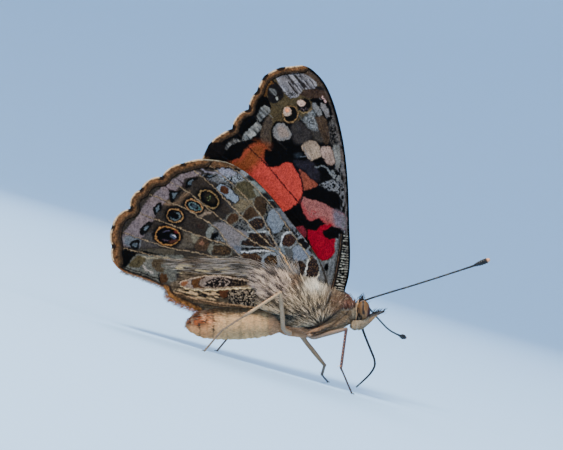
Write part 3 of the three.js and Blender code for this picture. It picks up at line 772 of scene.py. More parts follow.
def paint_pale_row(c):
    """Pale fields inside the margin, cut by dark lines, with black marks on them."""
    c.patch([(-27.6, 7.5), (-26.5, 9.2), (-25.3, 10.4), (-24.5, 12), (-23.3, 13.3), (-21.6, 14.7),
             (-19.6, 16), (-17.7, 16.6), (-16.6, 16.3), (-17.3, 15.9), (-18.8, 15.6), (-19.3, 14.6),
             (-20.2, 13.9), (-21.2, 12.8), (-22.1, 11.7), (-23, 10.2), (-23.9, 8.6), (-25, 7.1),
             (-25.2, 6), (-27.2, 6.1)], (146, 128, 134), soft=0.12, mottle=0.25)
    c.patch([(-27.4, 7.4), (-25.6, 7.6), (-25, 6.9), (-25.3, 6), (-27, 6.2)], (128, 130, 142), soft=0.2)
    for line in ([(-27.4, 8.1), (-26, 7.5), (-24.9, 7.1)], [(-24.8, 10.6), (-23.5, 10.1), (-22.4, 9.8)],
                 [(-23.3, 13.2), (-22.2, 12.7), (-21.2, 12.2)], [(-21.7, 14.5), (-21.1, 14.1),
                                                                 (-20.5, 13.9)], [(-19.9, 15.5),
                                                                                  (-19.2, 15),
                                                                                  (-18.9, 14.5)]):
        c.stroke(line, 0.16, (62, 40, 48))
    for mark, heart in (
        ([(-21, 13.9), (-20.1, 13.85), (-19.1, 14.05), (-19.9, 13.2), (-20.2, 12.8), (-20.7, 12.1),
        (-21, 13)], 0.45), ([(-23.3, 11.4), (-23, 10.3), (-22.6, 10.8), (-22, 11.4), (-22.2, 12.3),
        (-22.8, 12)], 0.45), ([(-25.1, 8.6), (-25.1, 7.7), (-24.3, 7.9),
        (-23.7, 8.7), (-23.2, 9.5), (-23.9, 9.5),
        (-24.6, 9.1)], 0.35), ([(-26.6, 6.4), (-25.9, 7),
        (-25.2, 7), (-25.3, 6.2),
        (-25.5, 5.6), (-26.3, 5.9)],
        0.4), ([(-18.9, 14.2),
        (-18.7, 15),
        (-18.3, 15.6),
        (-17.5, 15.8),
        (-17, 15.6),
        (-17.8, 15),
        (-18.2, 14.3)], 0.4),
        ([(-16.5, 15.8), (-15.7, 16.2), (-14.9, 16.1), (-14.1, 16.3), (-15, 15.75), (-15.9, 15.6)], 0.3),
    ):
        c.patch(mark, (14, 12, 14), soft=0.05)
        c.patch(shrunk(mark, heart), (118, 124, 136), soft=0.05)


def paint_eyespots(c):
    """Four eyespots: halo, ring, black heart and what shines in it."""
    for middle, size, tilt, ring_colour, ring in (
        ((-15.5, 12.72), (1.62, 1.1), -40, (164, 140, 102), 0.16),
        ((-17.62, 11.75), (1.32, 0.86), -28, (180, 148, 108), 0.15),
        ((-20.25, 10.42), (1.16, 0.97), -20, (184, 154, 112), 0.14),
        ((-21.28, 7.58), (1.78, 1.34), -10, (184, 146, 92), 0.15),
    ):
        c.oval(middle, (size[0] + 0.4, size[1] + 0.4), tilt, (16, 13, 14), soft=0.25)
        c.oval(middle, size, tilt, ring_colour, soft=0.05, mottle=0.35)
        c.oval(middle, (size[0] - ring, size[1] - ring), tilt, BLACK, soft=0.05)
    c.oval((-15.45, 12.85), (0.9, 0.5), -40, (46, 36, 26), soft=0.3)
    for x, z in ((-15.35, 12.8), (-15.35, 13.1), (-15.7, 13.0), (-15.6, 12.6)):
        c.oval((x, z), (0.07, 0.06), 0, (150, 160, 120), soft=0.05)
    c.oval((-17.6, 11.72), (0.86, 0.5), -28, (122, 142, 150), hollow=0.15, soft=0.06)
    c.oval((-17.55, 11.72), (0.42, 0.24), -28, (82, 94, 112), soft=0.1)
    c.oval((-16.78, 11.42), (0.16, 0.24), -28, (66, 112, 112), soft=0.06)
    c.oval((-20.2, 10.35), (0.72, 0.6), -20, (128, 138, 148), hollow=0.14, soft=0.06)
    c.oval((-20.42, 10.5), (0.56, 0.5), -20, BLACK)
    c.oval((-20.5, 7.5), (0.42, 0.26), -30, (96, 104, 130), soft=0.12)
    c.oval((-20.3, 7.56), (0.3, 0.08), -30, (200, 196, 206), soft=0.06)
    c.oval((-21.4, 8.22), (0.5, 0.08), 5, (112, 102, 132), soft=0.08)
    c.oval((-21.6, 7.0), (0.5, 0.08), -5, (104, 78, 100), soft=0.08)
    c.oval((-20.55, 6.85), (0.7, 0.22), 20, (92, 46, 36), soft=0.12)
    c.oval((-20.1, 8.1), (0.28, 0.16), -40, (120, 30, 38), soft=0.08)


def paint_pale_oval(c):
    """The pale oval with its brown spot."""
    c.patch([(-14.6, 14.4), (-13.9, 15), (-13, 14.7), (-12, 13.8), (-11.2, 12.8), (-11.7, 12.1),
             (-12.6, 12.3), (-13.6, 13.2), (-14.4, 14)], (28, 22, 22), soft=0.12)
    c.patch([(-14.4, 14.35), (-13.9, 14.8), (-13, 14.45), (-12.1, 13.6), (-11.4, 12.8), (-11.8, 12.25),
             (-12.6, 12.6), (-13.5, 13.3), (-14.2, 13.9)], (156, 160, 172), mottle=0.1)
    c.oval((-13.35, 13.98), (0.72, 0.52), -38, (92, 48, 28), mottle=0.3)


def paint_pale_patches(c):
    """Pale patches of the disc."""
    for pale, colour in (([(-14.9, 9.2), (-13.7, 9.45), (-12.2, 8.8), (-10.5, 8.2), (-10.0, 7.9),
                           (-10.2, 7.3), (-11, 6.8), (-11.1, 6), (-11.9, 5.6), (-12.8, 6.2), (-13.4, 7.3),
                           (-14.1, 8.3)], (146, 136, 142)), ([(-12.1, 6.1), (-11.3, 6.1), (-10.9, 5.6),
                                                              (-11, 5.1), (-11.9, 5.3)], (130, 130, 144)),
                         ([(-7.4, 10.1), (-6.9, 11.1), (-6.1, 11.4), (-5.3, 10.6), (-4.6, 9.7),
                           (-5.1, 9.2), (-5.5, 8.4), (-6.3, 7.9), (-7, 8.7)], (142, 148, 160)),
                         ([(-4, 4.9), (-3.7, 6), (-2.9, 6.2), (-1.9, 5.7), (-1.3, 5.4), (-1.9, 4.4),
                           (-3.2, 4.1)], (146, 152, 164)), ([(-5.2, 6), (-4.4, 6.1), (-3.8, 5.6),
                                                             (-3.9, 4.7), (-4.6, 4.5), (-5.1, 5.1)],
                                                            (104, 102, 106)), ([(-6, 6.1), (-5.2, 6.2),
                                                                                (-4.9, 5.2), (-5.3, 4.6),
                                                                                (-6.2, 5.3), (-7.2, 5.5)],
                                                                               (140, 146, 156)),):
        c.patch(pale, colour, mottle=0.12, soft=0.09)
    c.patch([(-16.0, 7.7), (-15.4, 8.8), (-14.8, 8.6), (-15.2, 7.7), (-15.5, 7.1)], (150, 148, 146))
    c.patch([(-15.3, 7.3), (-14.9, 7.9), (-14.4, 8.1), (-14.1, 7.7), (-14.6, 7.1)], BLACK, soft=0.12)
    c.speckle([(-14.6, 7.4), (-14, 8.1), (-13.3, 7.2), (-13.5, 6.6), (-14.6, 6.8)], (140, 140, 148), 0.5,
              cell=0.14)
    c.patch([(-15.7, 5.2), (-15.5, 6.4), (-15, 6.7), (-14.9, 6.2), (-15.2, 5.3)], (138, 132, 124), soft=0.1)


def paint_front_strip(c):
    """The strip along the front edge, black with grey scales."""
    c.patch([(-10.2, 15.9), (-9.6, 15.7), (-8.4, 14.3), (-7.2, 13.2), (-5.4, 11), (-3.4, 8.6), (-2.2, 7),
             (-1.1, 5.3), (-1.9, 5.7), (-3.2, 7.2), (-5, 9.4), (-6, 11.1), (-7.4, 12.3), (-8.3, 13.5),
             (-9.4, 14.9)], (30, 26, 28), soft=0.1)
    c.patch([(-9.9, 15.2), (-9, 15.1), (-7.9, 14.1), (-7.6, 13.75), (-8.3, 13.6), (-9.1, 14.3)],
            (146, 152, 154))
    c.patch([(-9.3, 14.3), (-8.8, 14.1), (-8.3, 13.4), (-8.7, 13.1), (-9.1, 13.5)], (136, 134, 128))
    c.patch([(-6.5, 11.4), (-5.5, 11.3), (-4.2, 9.6), (-3.4, 8.5), (-3.9, 8.4), (-4.9, 9.6), (-6, 10.9)],
            (122, 122, 132), mottle=0.3)
    c.speckle([(-3.6, 8.5), (-2.6, 7.7), (-1.6, 6), (-2.4, 6), (-3.4, 7.4)], (150, 152, 160), 0.35,
              cell=0.15)
    c.stroke([(-7.2, 12.6), (-6.6, 12.5)], 0.13, (136, 150, 156))
    c.outlined([(-5.2, 8.7), (-4.7, 9), (-4.3, 8.4), (-4.6, 8.2)], 0.2, BLACK)


def paint_root_cells(c):
    """Dark cells near the root, each ringed with pale scales."""
    for cell, colour, rusty in (([(-10.95, 6.3), (-10.8, 6.9), (-10.1, 7.1), (-9.9, 8), (-8.8, 8.05),
                                  (-7.9, 8), (-7.1, 7.6), (-6.5, 6.9), (-6.2, 6.1), (-7.2, 6.05),
                                  (-9.5, 6.15)], (34, 25, 25), 0.16), ([(-5.2, 7.6), (-4.4, 7.9),
                                                                        (-3.7, 7.6), (-3.4, 6.8),
                                                                        (-4, 6.2), (-5, 6.1), (-5.3, 6.8)],
                                                                       (58, 34, 33), 0.15), ([(-9.9, 9.4),
                                                                                              (-9, 10.1),
                                                                                              (-8.1, 9.9),
                                                                                              (-7.7, 9.2),
                                                                                              (-8.1, 8.5),
                                                                                              (-9.3, 8.4)],
                                                                                             (42, 31, 32),
                                                                                             0.2),
                                ([(-3.1, 6.9), (-2.5, 7.3), (-1.9, 6.8), (-1.5, 6.2), (-1.9, 5.7),
                                  (-2.4, 5.9)], (20, 17, 20), 0), ([(-4, 3.1), (-3.4, 3.9), (-2.4, 4),
                                                                    (-1.95, 3.2), (-2.3, 2.2),
                                                                    (-3.1, 1.8)], (42, 30, 28), 0.3),
                                ([(-1.65, 4.6), (-1.1, 4.8), (-0.5, 4.2), (-0.15, 3.1), (-0.3, 2),
                                  (-1.2, 1.8), (-2.0, 2.1), (-1.75, 3.4)], (44, 31, 34), 0.3),
                                ([(-11.1, 5.05), (-9.4, 5.2), (-8.4, 4.8), (-8.05, 4), (-8.2, 3.3),
                                  (-9.3, 3.2), (-10.4, 4.1)], (66, 45, 35), 0.4),):
        c.outlined(cell, 0.42, (148, 148, 154), soft=0.08)
        c.patch(cell, colour, soft=0.05)
        if rusty:
            c.speckle(cell, (118, 82, 60), rusty * 0.8, cell=0.12)
    c.oval((-6.85, 3.95), (1.36, 1.4), 0, (156, 158, 166), soft=0.08)
    c.oval((-6.85, 3.9), (0.98, 1.08), 0, (46, 33, 26), soft=0.06)
    c.speckle([(-7.8, 3.9), (-6.9, 4.9), (-6, 4), (-6.9, 2.9)], (124, 88, 58), 0.36, cell=0.14)
    c.stroke([(-10.9, 5.78), (-9, 5.84), (-7.4, 5.8)], 0.22, BLACK)
    c.stroke([(-11, 5.42), (-10, 5.36), (-8.8, 5.46), (-7, 5.5)], 0.17, (206, 204, 208))
    c.stroke([(-10.8, 5.2), (-9.6, 5.18), (-8.2, 5.12)], 0.12, BLACK)
    c.stroke([(-5.35, 6.1), (-5.4, 6.7), (-5.2, 7.6), (-4.6, 8.1), (-4, 8.1)], 0.18, (196, 196, 202))
    c.stroke([(-10.1, 8.2), (-9.3, 8.1), (-8.4, 8.1), (-7.8, 8.25), (-7.1, 8)], 0.2, (176, 176, 182))
    c.stroke([(-7.7, 8), (-7.2, 7.3), (-6.6, 6.4)], 0.1, (150, 140, 140))
    c.stroke([(-2.2, 1.9), (-1.95, 2.6), (-1.75, 3.8), (-1.5, 4.7)], 0.17, (206, 202, 200))
    c.stroke([(-2.3, 1.85), (-1.3, 1.55), (-0.5, 1.65), (-0.15, 2.6)], 0.15, (206, 198, 192))
    c.stroke([(-7.6, 12), (-7.5, 11), (-7.45, 10.2), (-7.6, 9.7)], 0.2, BLACK)


def paint_rear_corner(c):
    """The rear corner."""
    c.patch([(-25.3, 5.6), (-22.6, 5.8), (-20.4, 5.6), (-20.7, 4.9), (-22.4, 4.8), (-24.6, 5)],
            (98, 86, 74))
    c.patch([(-27.2, 3.1), (-26.6, 4.4), (-25.4, 5), (-23.5, 4.8), (-21, 4.9), (-19, 4.6), (-19.8, 1.5),
             (-21.4, 0.7), (-23.5, 1.7), (-25.5, 2.4)], (128, 124, 120), streak=(-20, 0.25), mottle=0.2)
    c.stroke([(-25.5, 5.3), (-24, 5.25), (-21.6, 4.9)], 0.42, BLACK, end_width=0.08)
    c.stroke([(-24.9, 4.75), (-24.2, 4.5), (-23, 4.5), (-21.2, 4.62)], 0.14, (178, 166, 152))
    c.patch([(-27.2, 5.9), (-26.1, 5.7), (-25.7, 5.3), (-25.8, 4.9), (-26.3, 4.4), (-26.8, 3.5),
             (-27.6, 3.2), (-27.8, 4.1)], BLACK, soft=0.1)
    c.patch([(-26.7, 3.6), (-26.1, 4.3), (-25.7, 4.8), (-24.8, 4.7), (-24.4, 4.1), (-25.1, 3.2),
             (-26.1, 3.2)], (106, 90, 64), mottle=0.3)
    c.patch([(-23.5, 4), (-22.9, 4.35), (-21.7, 4.35), (-20.4, 4.2), (-21.6, 3.8), (-22.2, 3.4),
             (-21.7, 2.8), (-22.4, 2.5), (-23.2, 3)], (98, 78, 60), mottle=0.3)
    c.patch([(-22.3, 2.3), (-21.5, 2.2), (-21.2, 1.4), (-21.9, 0.9), (-22.4, 1.3)], (98, 62, 38))
    c.stroke([(-22.5, 2.3), (-22.5, 1.7), (-22.2, 1)], 0.17, BLACK)
    c.patch([(-20, 2.3), (-19, 2.1), (-18.8, 1.3), (-19.4, 1), (-20, 1.5)], (46, 38, 38), soft=0.15)
    c.speckle([(-25, 4), (-24.2, 3.6), (-22.8, 2.4), (-24, 2.3)], (190, 184, 180), 0.2, cell=0.2,
              stretch=(2, 1), angle=-30)
    for line in ([(-28.2, 3.6), (-26.6, 3.05), (-24.6, 2.3), (-22.4, 1.5)],
                 [(-27.6, 2.95), (-25.6, 2.3), (-23.4, 1.5)]):
        c.stroke(line, 0.16, (26, 20, 19))


def paint_folds(c):
    """The hairy rear part, streaked along its folds."""
    c.patch([(-20.9, 0.6), (-19.6, 1.9), (-19.4, 4.2), (-17, 4.6), (-13.4, 4.1), (-9.7, 3.2), (-6.4, 1),
             (-3.2, 0.4), (0.4, 0.4), (0.4, -2.6), (-8, -2.8), (-17, -3)], (124, 104, 84), soft=0.25,
            streak=(-6, 0.85), mottle=0.3)
    c.speckle([(-20, 3.8), (-17, 4.3), (-13, 3.9), (-9.8, 3), (-7, 1.2), (-10, 2), (-15, 2.4),
               (-19.6, 2.2)], (40, 31, 25), 0.4, cell=0.2, stretch=(5, 1), angle=-6)
    c.speckle([(-20, 3.6), (-17, 4.1), (-13, 3.7), (-9.8, 2.8), (-7, 1.2), (-10, 2.1), (-15, 2.5),
               (-19.6, 2.4)], (206, 194, 172), 0.3, cell=0.22, stretch=(6, 1), angle=-7)
    c.patch([(-20.6, 0.1), (-15, 0.25), (-9, 0.3), (-5.4, 0), (-6, -1.6), (-12, -2.2), (-18, -2.4)],
            (92, 76, 62), soft=0.2, streak=(-4, 0.5), mottle=0.35)
    c.speckle([(-20, 0.2), (-14.4, 0.1), (-13.6, -1.3), (-16.4, -1.2), (-19.4, -0.5)], (24, 19, 18), 0.42,
              cell=0.15, stretch=(2, 1), angle=-12)
    c.speckle([(-20.2, 0.1), (-15, 0.0), (-13, -1.4), (-16.4, -1.3), (-19.6, -0.6)], (190, 172, 150), 0.3,
              cell=0.2, stretch=(3, 1), angle=-14)
    c.patch([(-14.1, 0), (-12.9, 0), (-12.8, -0.8), (-13.6, -1.1)], (104, 56, 32), soft=0.12)
    c.stroke([(-12.75, 0.05), (-12.7, -0.7), (-13.3, -1.1)], 0.16, (30, 20, 18))
    c.patch([(-12.3, 0.2), (-6.2, 0.1), (-6.4, -2.1), (-11.6, -2.0)], (140, 124, 112), soft=0.3, mottle=0.4)
    c.speckle([(-12.5, 0.1), (-6, 0.1), (-6.2, -2.3), (-12.2, -2.1)], (16, 13, 15), 0.62, cell=0.17)
    c.speckle([(-12.3, 0), (-6, 0), (-6.2, -2.1), (-12, -1.9)], (172, 160, 150), 0.2, cell=0.13)
    # a dark brown line along the fold, painted shadow, with a pale line above it and a brown one below
    for depth, colour, width in ((0, (60, 42, 30), 0.5), (0.12, (176, 152, 122), 0.22), (-0.22,
                                                                                         (124, 96, 70),
                                                                                         0.2)):
        c.stroke([(-20.4, -0.35 + depth), (-18, -1.1 + depth), (-15, -1.75 + depth), (-11, -2.3 + depth),
                  (-7, -2.8 + depth)], width, colour, streak=(-15, 0.6), mottle=0.3)


def paint_leaf(c):
    """The fold shaped like a leaf: pale, with a brown crescent and a dotted field."""
    leaf = [(-19.6, 1.0), (-18.4, 1.5), (-16.8, 1.85), (-14.7, 2.05), (-12.5, 1.8), (-10, 1.3),
            (-7.5, 0.75), (-6.2, 0.25), (-8, 0.35), (-11, 0.25), (-14, 0.1), (-17.2, 0.02), (-18.8, 0.4)]
    # a dark brown line round the fold, painted shadow where it lies under the fold's lower edge
    c.outlined(leaf, 0.34, (58, 42, 32), soft=0.1)
    c.patch(leaf, (166, 152, 142), mottle=0.3)
    c.patch([(-12, 1.6), (-9.6, 1.1), (-6.6, 0.4), (-9, 0.4), (-12.2, 0.4)], (112, 88, 68), soft=0.25,
            mottle=0.4)
    c.speckle([(-16.2, 0.6), (-15.6, 1.5), (-14.2, 1.9), (-12, 1.7), (-10, 1.1), (-11, 0.5), (-15, 0.3)],
              (28, 21, 20), 0.72, cell=0.15)
    c.patch([(-19.4, 0.95), (-18.9, 1.25), (-18.4, 1.2), (-18.7, 0.7), (-19.1, 0.6)], (164, 112, 72),
            soft=0.14)
    crescent = [(-17.9, 1.3), (-17.3, 1.72), (-16.1, 1.85), (-16.8, 1.3), (-16.9, 0.75), (-16.1, 0.3),
                (-17.3, 0.25), (-17.8, 0.7)]
    c.patch(crescent, (122, 74, 44), mottle=0.3)
    c.outlined(crescent, 0.08, (52, 34, 28))
    c.stroke([(-19.6, 1.02), (-18.4, 1.52), (-16.8, 1.87), (-14.7, 2.07), (-12.5, 1.82), (-10, 1.32)], 0.14,
             (196, 184, 166), soft=0.05)
    c.stroke([(-19.4, 0.55), (-17.2, 0.0), (-14, 0.1), (-11, 0.25), (-8, 0.35), (-6.2, 0.25)], 0.13,
             (210, 200, 184), soft=0.05)


def paint_hindwing_lines(c):
    """Veins and edges."""
    for vein in HINDWING_VEINS.values():
        c.stroke(vein, 0.3, (46, 34, 33), end_width=0.22, cover=0.5)
        c.stroke(vein, 0.12, (186, 168, 150), end_width=0.06, soft=0.05, cover=0.9)
    c.stroke([(-2.9, 1.4), (-4.2, 3.2), (-5.1, 4.6), (-5.6, 5.4)], 0.24, (236, 224, 206), end_width=0.12)
    paint_margin(c, HINDWING_TEETH, 1.22, 0.42)
    edge, along = distance_to_line(c.x, c.z, spline([(-10.2, 16.35), *HINDWING_FRONT[8:]], 6))
    c.band(edge + (1 - along) * 0.2, -1, 0.17, (184, 174, 164), mottle=0.25)
    edge, _ = distance_to_line(c.x, c.z, spline(HINDWING_BACK[0][:4], 6))
    c.band(edge, -1, 0.17, (176, 130, 88))
    edge, _ = distance_to_line(c.x, c.z, spline(HINDWING_BACK[0][3:], 6))
    c.band(edge, -1, 0.85, (44, 30, 22), soft=0.2, cover=0.8, streak=(-50, 0.6))
    c.band(edge, -1, 0.5, (150, 102, 54), soft=0.2, streak=(-50, 0.7), mottle=0.4)


def paint_hindwing_outside(points):
    c = Canvas(points, (66, 56, 51), 100)
    for paint in (paint_disc, paint_front_edge, paint_outer_cells, paint_eyespot_ground,
                  paint_pale_row, paint_eyespots, paint_pale_oval, paint_pale_patches,
                  paint_front_strip, paint_root_cells, paint_rear_corner, paint_folds, paint_leaf,
                  paint_hindwing_lines):
        paint(c)
    return c.rgb


def paint_tip(c):
    """The tip: a brown rim and grey streaked fields."""
    c.patch([(-8.9, 27.9), (-7.9, 29.7), (-5.6, 31), (-2.5, 31.4), (-0.6, 30.2), (0.9, 28.3), (1.6, 26.4),
             (0.2, 26.2), (-1.1, 26.2), (-1.2, 24.9), (-2.4, 24.2), (-3.6, 23.3), (-5.9, 23.6),
             (-6.8, 22.6), (-6.8, 20.4), (-8.1, 20.7), (-8.2, 22.6), (-7.2, 24.3), (-6.9, 25.9),
             (-7.5, 27)], (98, 80, 56), mottle=0.25)
    c.patch([(-6.9, 20.2), (-8.1, 20.6), (-8.3, 22.3), (-7.4, 24.2), (-6.6, 23.6), (-6.9, 22.3)],
            (88, 72, 64), soft=0.12, mottle=0.25)
    c.patch([(-7, 30), (-5, 31), (-3, 31.2), (-1.5, 30.7), (0, 29.6), (1, 28.1), (0.2, 28), (-0.4, 29),
             (-1.6, 30), (-3.4, 30.3), (-5, 30.1), (-6.2, 29.8)], (90, 68, 54), streak=(-50, 0.5),
            mottle=0.3)
    c.patch([(-6.2, 29.7), (-5.1, 30.1), (-3.5, 30.4), (-1.9, 30.1), (-0.4, 28.9), (-0.9, 28.1),
             (-2.2, 28.1), (-3.1, 27.1), (-4.2, 26.9), (-5, 27.6), (-5.5, 28.3)], (156, 152, 158),
            streak=(-52, 0.9), mottle=0.15)
    c.speckle([(-5.9, 29.5), (-3.5, 30.2), (-1.9, 29.9), (-0.7, 28.6), (-3, 27.3), (-4.8, 27.6)],
              (54, 46, 48), 0.18, cell=0.2, stretch=(6, 1), angle=-52)
    c.speckle([(-5, 27.7), (-4.2, 28), (-3, 27.6), (-3.6, 26.9), (-4.4, 26.9)], (52, 46, 44), 0.4,
              cell=0.12)
    c.stroke([(-4.9, 30.3), (-3.6, 29), (-2.9, 28)], 0.13, (44, 36, 38))
    c.stroke([(-3.1, 30.2), (-2, 29), (-1.1, 28.2)], 0.13, (44, 36, 38))
    c.patch([(-2.9, 27.3), (-2, 28), (-0.8, 28.2), (0.5, 28.4), (1.3, 27.4), (1.5, 26.6), (0.2, 26.6),
             (-1.4, 26.8)], (76, 54, 46), mottle=0.35)
    c.patch([(-0.9, 28.6), (-0.3, 28.5), (0.4, 28.5), (1.1, 27.8), (0.6, 27.9), (-0.4, 28.1)],
            (32, 25, 27), soft=0.12)
    c.patch([(-1.5, 26.6), (-0.9, 26.8), (0, 26.9), (1.1, 26.4), (1.5, 25.8), (0.4, 26.1), (-0.9, 26.2)],
            BLACK)
    c.stroke([(0.3, 27.1), (0.55, 26.75), (0.8, 26.4)], 0.2, (196, 178, 180))
    c.stroke([(-0.1, 26.9), (0.1, 26.6)], 0.12, (150, 140, 150))
    c.patch([(-7.8, 27.1), (-8.3, 28.4), (-7.4, 29.8), (-6.3, 29), (-6.9, 28.3), (-7.2, 27.4)],
            (122, 80, 44), mottle=0.3)
    c.stroke([(-7.1, 29.7), (-6.3, 29), (-5.4, 28)], 0.22, BLACK)
    c.patch([(-7.2, 28.4), (-6.2, 28.8), (-5.4, 28.1), (-5, 27.3), (-5.5, 26.6), (-6.5, 26.1),
             (-7.3, 26.8)], (26, 22, 24), soft=0.1)
    c.patch([(-7.05, 28.2), (-6.5, 28.2), (-6, 27.7), (-6.2, 27.2), (-6.7, 27.3), (-7.0, 27.7)],
            (118, 116, 120), streak=(-51, 0.9), mottle=0.2)
    c.oval((-5.95, 26.82), (0.12, 0.24), 0, (180, 178, 178))


def paint_grey_fields(c):
    """Grey fields inside the margin, one behind each vein."""
    c.patch([(-13.3, 19.3), (-13, 20.3), (-12.2, 21), (-11.2, 21), (-11, 20.3), (-11.8, 19.5), (-12.6, 19)],
            (128, 124, 126), streak=(-52, 0.9), mottle=0.3, soft=0.2)
    for field in ([(-10.9, 21.1), (-10.5, 21.9), (-9.6, 22.8), (-8.8, 23.5), (-8.2, 22.8), (-8.7, 22),
                   (-9.6, 21.2), (-10.3, 20.7)], [(-8.95, 23.8), (-8.7, 24.8), (-8.1, 25.7), (-7.5, 25.8),
                                                  (-6.95, 25.1), (-7.4, 24.5), (-8.0, 23.9),
                                                  (-8.45, 23.5)]):
        c.patch(field, (148, 145, 148), streak=(-52, 1.1), mottle=0.15)
    c.stroke([(-8.9, 24), (-8, 23.1)], 0.22, BLACK)
    c.stroke([(-7.5, 24.9), (-6.9, 24.3), (-6.6, 24.1)], 0.13, (138, 134, 132))
    c.patch([(-13.5, 19.1), (-12.8, 19.3), (-12.2, 18.9), (-12.8, 18.4), (-13.4, 18.5)], (46, 48, 58),
            soft=0.25)


def paint_tip_eyespots(c):
    """Two eyespots near the tip."""
    c.oval((-4.1, 24.6), (1.28, 1.3), 0, (20, 16, 14), soft=0.12)
    c.oval((-4.15, 24.6), (1.14, 1.2), 0, (168, 142, 104), mottle=0.3)
    c.oval((-4.15, 24.62), (0.99, 1.05), 0, (12, 10, 10))
    c.oval((-4.62, 24.92), (0.6, 0.66), 0, (190, 176, 166), mottle=0.1)
    c.oval((-4.6, 25.15), (0.3, 0.26), 0, (226, 190, 156), soft=0.16)
    c.oval((-2.3, 25.75), (1.1, 1.12), 20, (118, 98, 72), soft=0.1)
    c.oval((-2.3, 25.85), (0.98, 0.98), 20, (14, 11, 12))
    c.stroke([(-2.9, 25.05), (-2.3, 24.8), (-1.5, 24.95), (-1.15, 25.3)], 0.17, (158, 136, 102))
    c.oval((-2.65, 26.15), (0.56, 0.46), -30, (200, 186, 180), mottle=0.1)
    c.oval((-2.65, 26.0), (0.12, 0.12), 0, (150, 80, 92), soft=0.06)
    c.speckle([(-2.9, 25.3), (-2, 25.6), (-1.4, 25.4), (-2.2, 25)], (128, 110, 120), 0.4, cell=0.12)


def paint_pale_spots(c):
    """A round pale spot, four more up to the front edge, and what lies round them."""
    c.patch([(-6.7, 22.6), (-6.2, 23.4), (-4.9, 23.4), (-4.1, 22.7), (-3.8, 21.6), (-4.3, 20.9),
             (-5.6, 20.7), (-6.7, 21.4)], (10, 8, 10), soft=0.16)
    c.patch([(-6.55, 22.6), (-6, 23.25), (-5, 23.2), (-4.4, 22.6), (-4, 21.7), (-4.4, 21.1), (-5.6, 20.9),
             (-6.5, 21.5)], (152, 145, 148), mottle=0.1)
    c.patch([(-6, 22.7), (-5.3, 22.9), (-4.6, 22.3), (-4.3, 21.7), (-4.7, 21.4), (-5.6, 21.4)],
            (162, 148, 142), soft=0.25, mottle=0.08)
    for bar, colour in (([(-2.6, 20.1), (-1.8, 20.9), (-1, 20.9), (-0.4, 20.5), (0, 19.7), (0.1, 18.8),
                          (-0.4, 18.5), (-1.3, 18.05), (-1.8, 18.6), (-2.2, 19.3)], (176, 160, 152)),
                        ([(0.12, 19.9), (0.5, 20.1), (1.2, 20.1), (1.7, 19.7), (1.9, 18.7), (2.0, 17.6),
                          (1, 17.6), (0.7, 18.2), (0.22, 18.8)], (174, 156, 152)), ([(1.82, 20.2),
                                                                                     (2.5, 20.3),
                                                                                     (2.85, 19.4),
                                                                                     (2.9, 18),
                                                                                     (2.7, 17.2),
                                                                                     (2.2, 17), (2.1, 18),
                                                                                     (1.98, 19)],
                                                                                    (148, 144, 146)),
                        ([(2.9, 19.6), (3.25, 19.4), (3.4, 17.7), (3, 17.8)], (132, 118, 118)),):
        c.patch(bar, colour, mottle=0.14, streak=(-70, 0.3), soft=0.09)
    c.stroke([(-2.3, 20), (-1.9, 19.1), (-1.3, 18.2)], 0.12, (140, 138, 148))
    c.patch([(-1.05, 26.1), (-0.6, 26.1), (-0.1, 25.6), (0.2, 24.8), (0, 24.3), (-0.6, 24.8), (-1, 25.5)],
            (148, 144, 150), mottle=0.14)
    c.patch([(0.1, 26.05), (0.6, 26.05), (1.1, 25.3), (1.3, 24.4), (1, 24.1), (0.6, 24.7), (0.25, 25.3)],
            (150, 142, 148), mottle=0.14)
    c.patch([(-1.3, 25), (-0.8, 25.1), (-0.6, 24.2), (-0.4, 23.2), (-0.1, 22.2), (-1.1, 22.1), (-1.9, 23),
             (-2.4, 24)], (112, 112, 118), mottle=0.35, streak=(-60, 0.5), soft=0.2)
    c.speckle([(-1.5, 25), (-0.9, 25), (-0.6, 23.6), (-0.1, 22.2), (-1.2, 22.3), (-2.2, 23.6)],
              (158, 158, 164), 0.42, cell=0.13)
    c.patch([(-4, 22.9), (-3, 23.6), (-2, 22.9), (-1.3, 21.9), (-1.4, 21.2), (-2.2, 20.5), (-3.4, 20.6),
             (-3.9, 21.6)], (64, 56, 58), soft=0.3, mottle=0.3)
    c.stroke([(-3, 24.5), (-2.4, 23.7), (-2, 23.2)], 0.12, (108, 106, 110))
    c.patch([(-0.6, 24), (0, 24.4), (0.7, 24.1), (1.2, 22.6), (1.4, 21), (0.9, 20.4), (0.3, 21),
             (-0.2, 22.6)], (84, 64, 50), mottle=0.35, streak=(-70, 0.3), soft=0.12)
    c.patch([(-1.2, 22.2), (-0.2, 22.3), (0.3, 21.2), (0.2, 20.6), (-0.8, 21)], (72, 64, 60), soft=0.25,
            mottle=0.4)
    c.patch([(1.3, 23.9), (1.9, 24.4), (2.4, 22.8), (2.9, 21), (3.3, 18.5), (3.1, 20), (2.2, 20.3),
             (1.6, 20.4), (1.3, 22)], (114, 106, 108), streak=(-74, 0.9), mottle=0.3)
    c.speckle([(1.2, 23.8), (1.9, 24.2), (2.5, 21.6), (2.4, 20.4), (1.6, 20.5), (1.3, 22)], BLACK, 0.5,
              cell=0.16)
    c.patch([(1.0, 24.2), (1.5, 24.3), (1.7, 23.9), (1.2, 23.8)], BLACK)
    c.stroke([(-3.1, 18.75), (-2.6, 18.68), (-2, 18.65)], 0.13, (112, 118, 132))
    c.patch([(-3.7, 18.9), (-3, 19.2), (-2.6, 18.9), (-3.2, 18.5)], (40, 46, 58), soft=0.2)
    c.stroke([(-6, 20.8), (-5.2, 20.2), (-4.7, 19.7)], 0.12, (44, 40, 40), cover=0.7)
    c.stroke([(-7.3, 20), (-6.9, 19.6), (-6.7, 19.3)], 0.14, (128, 92, 74), cover=0.8)


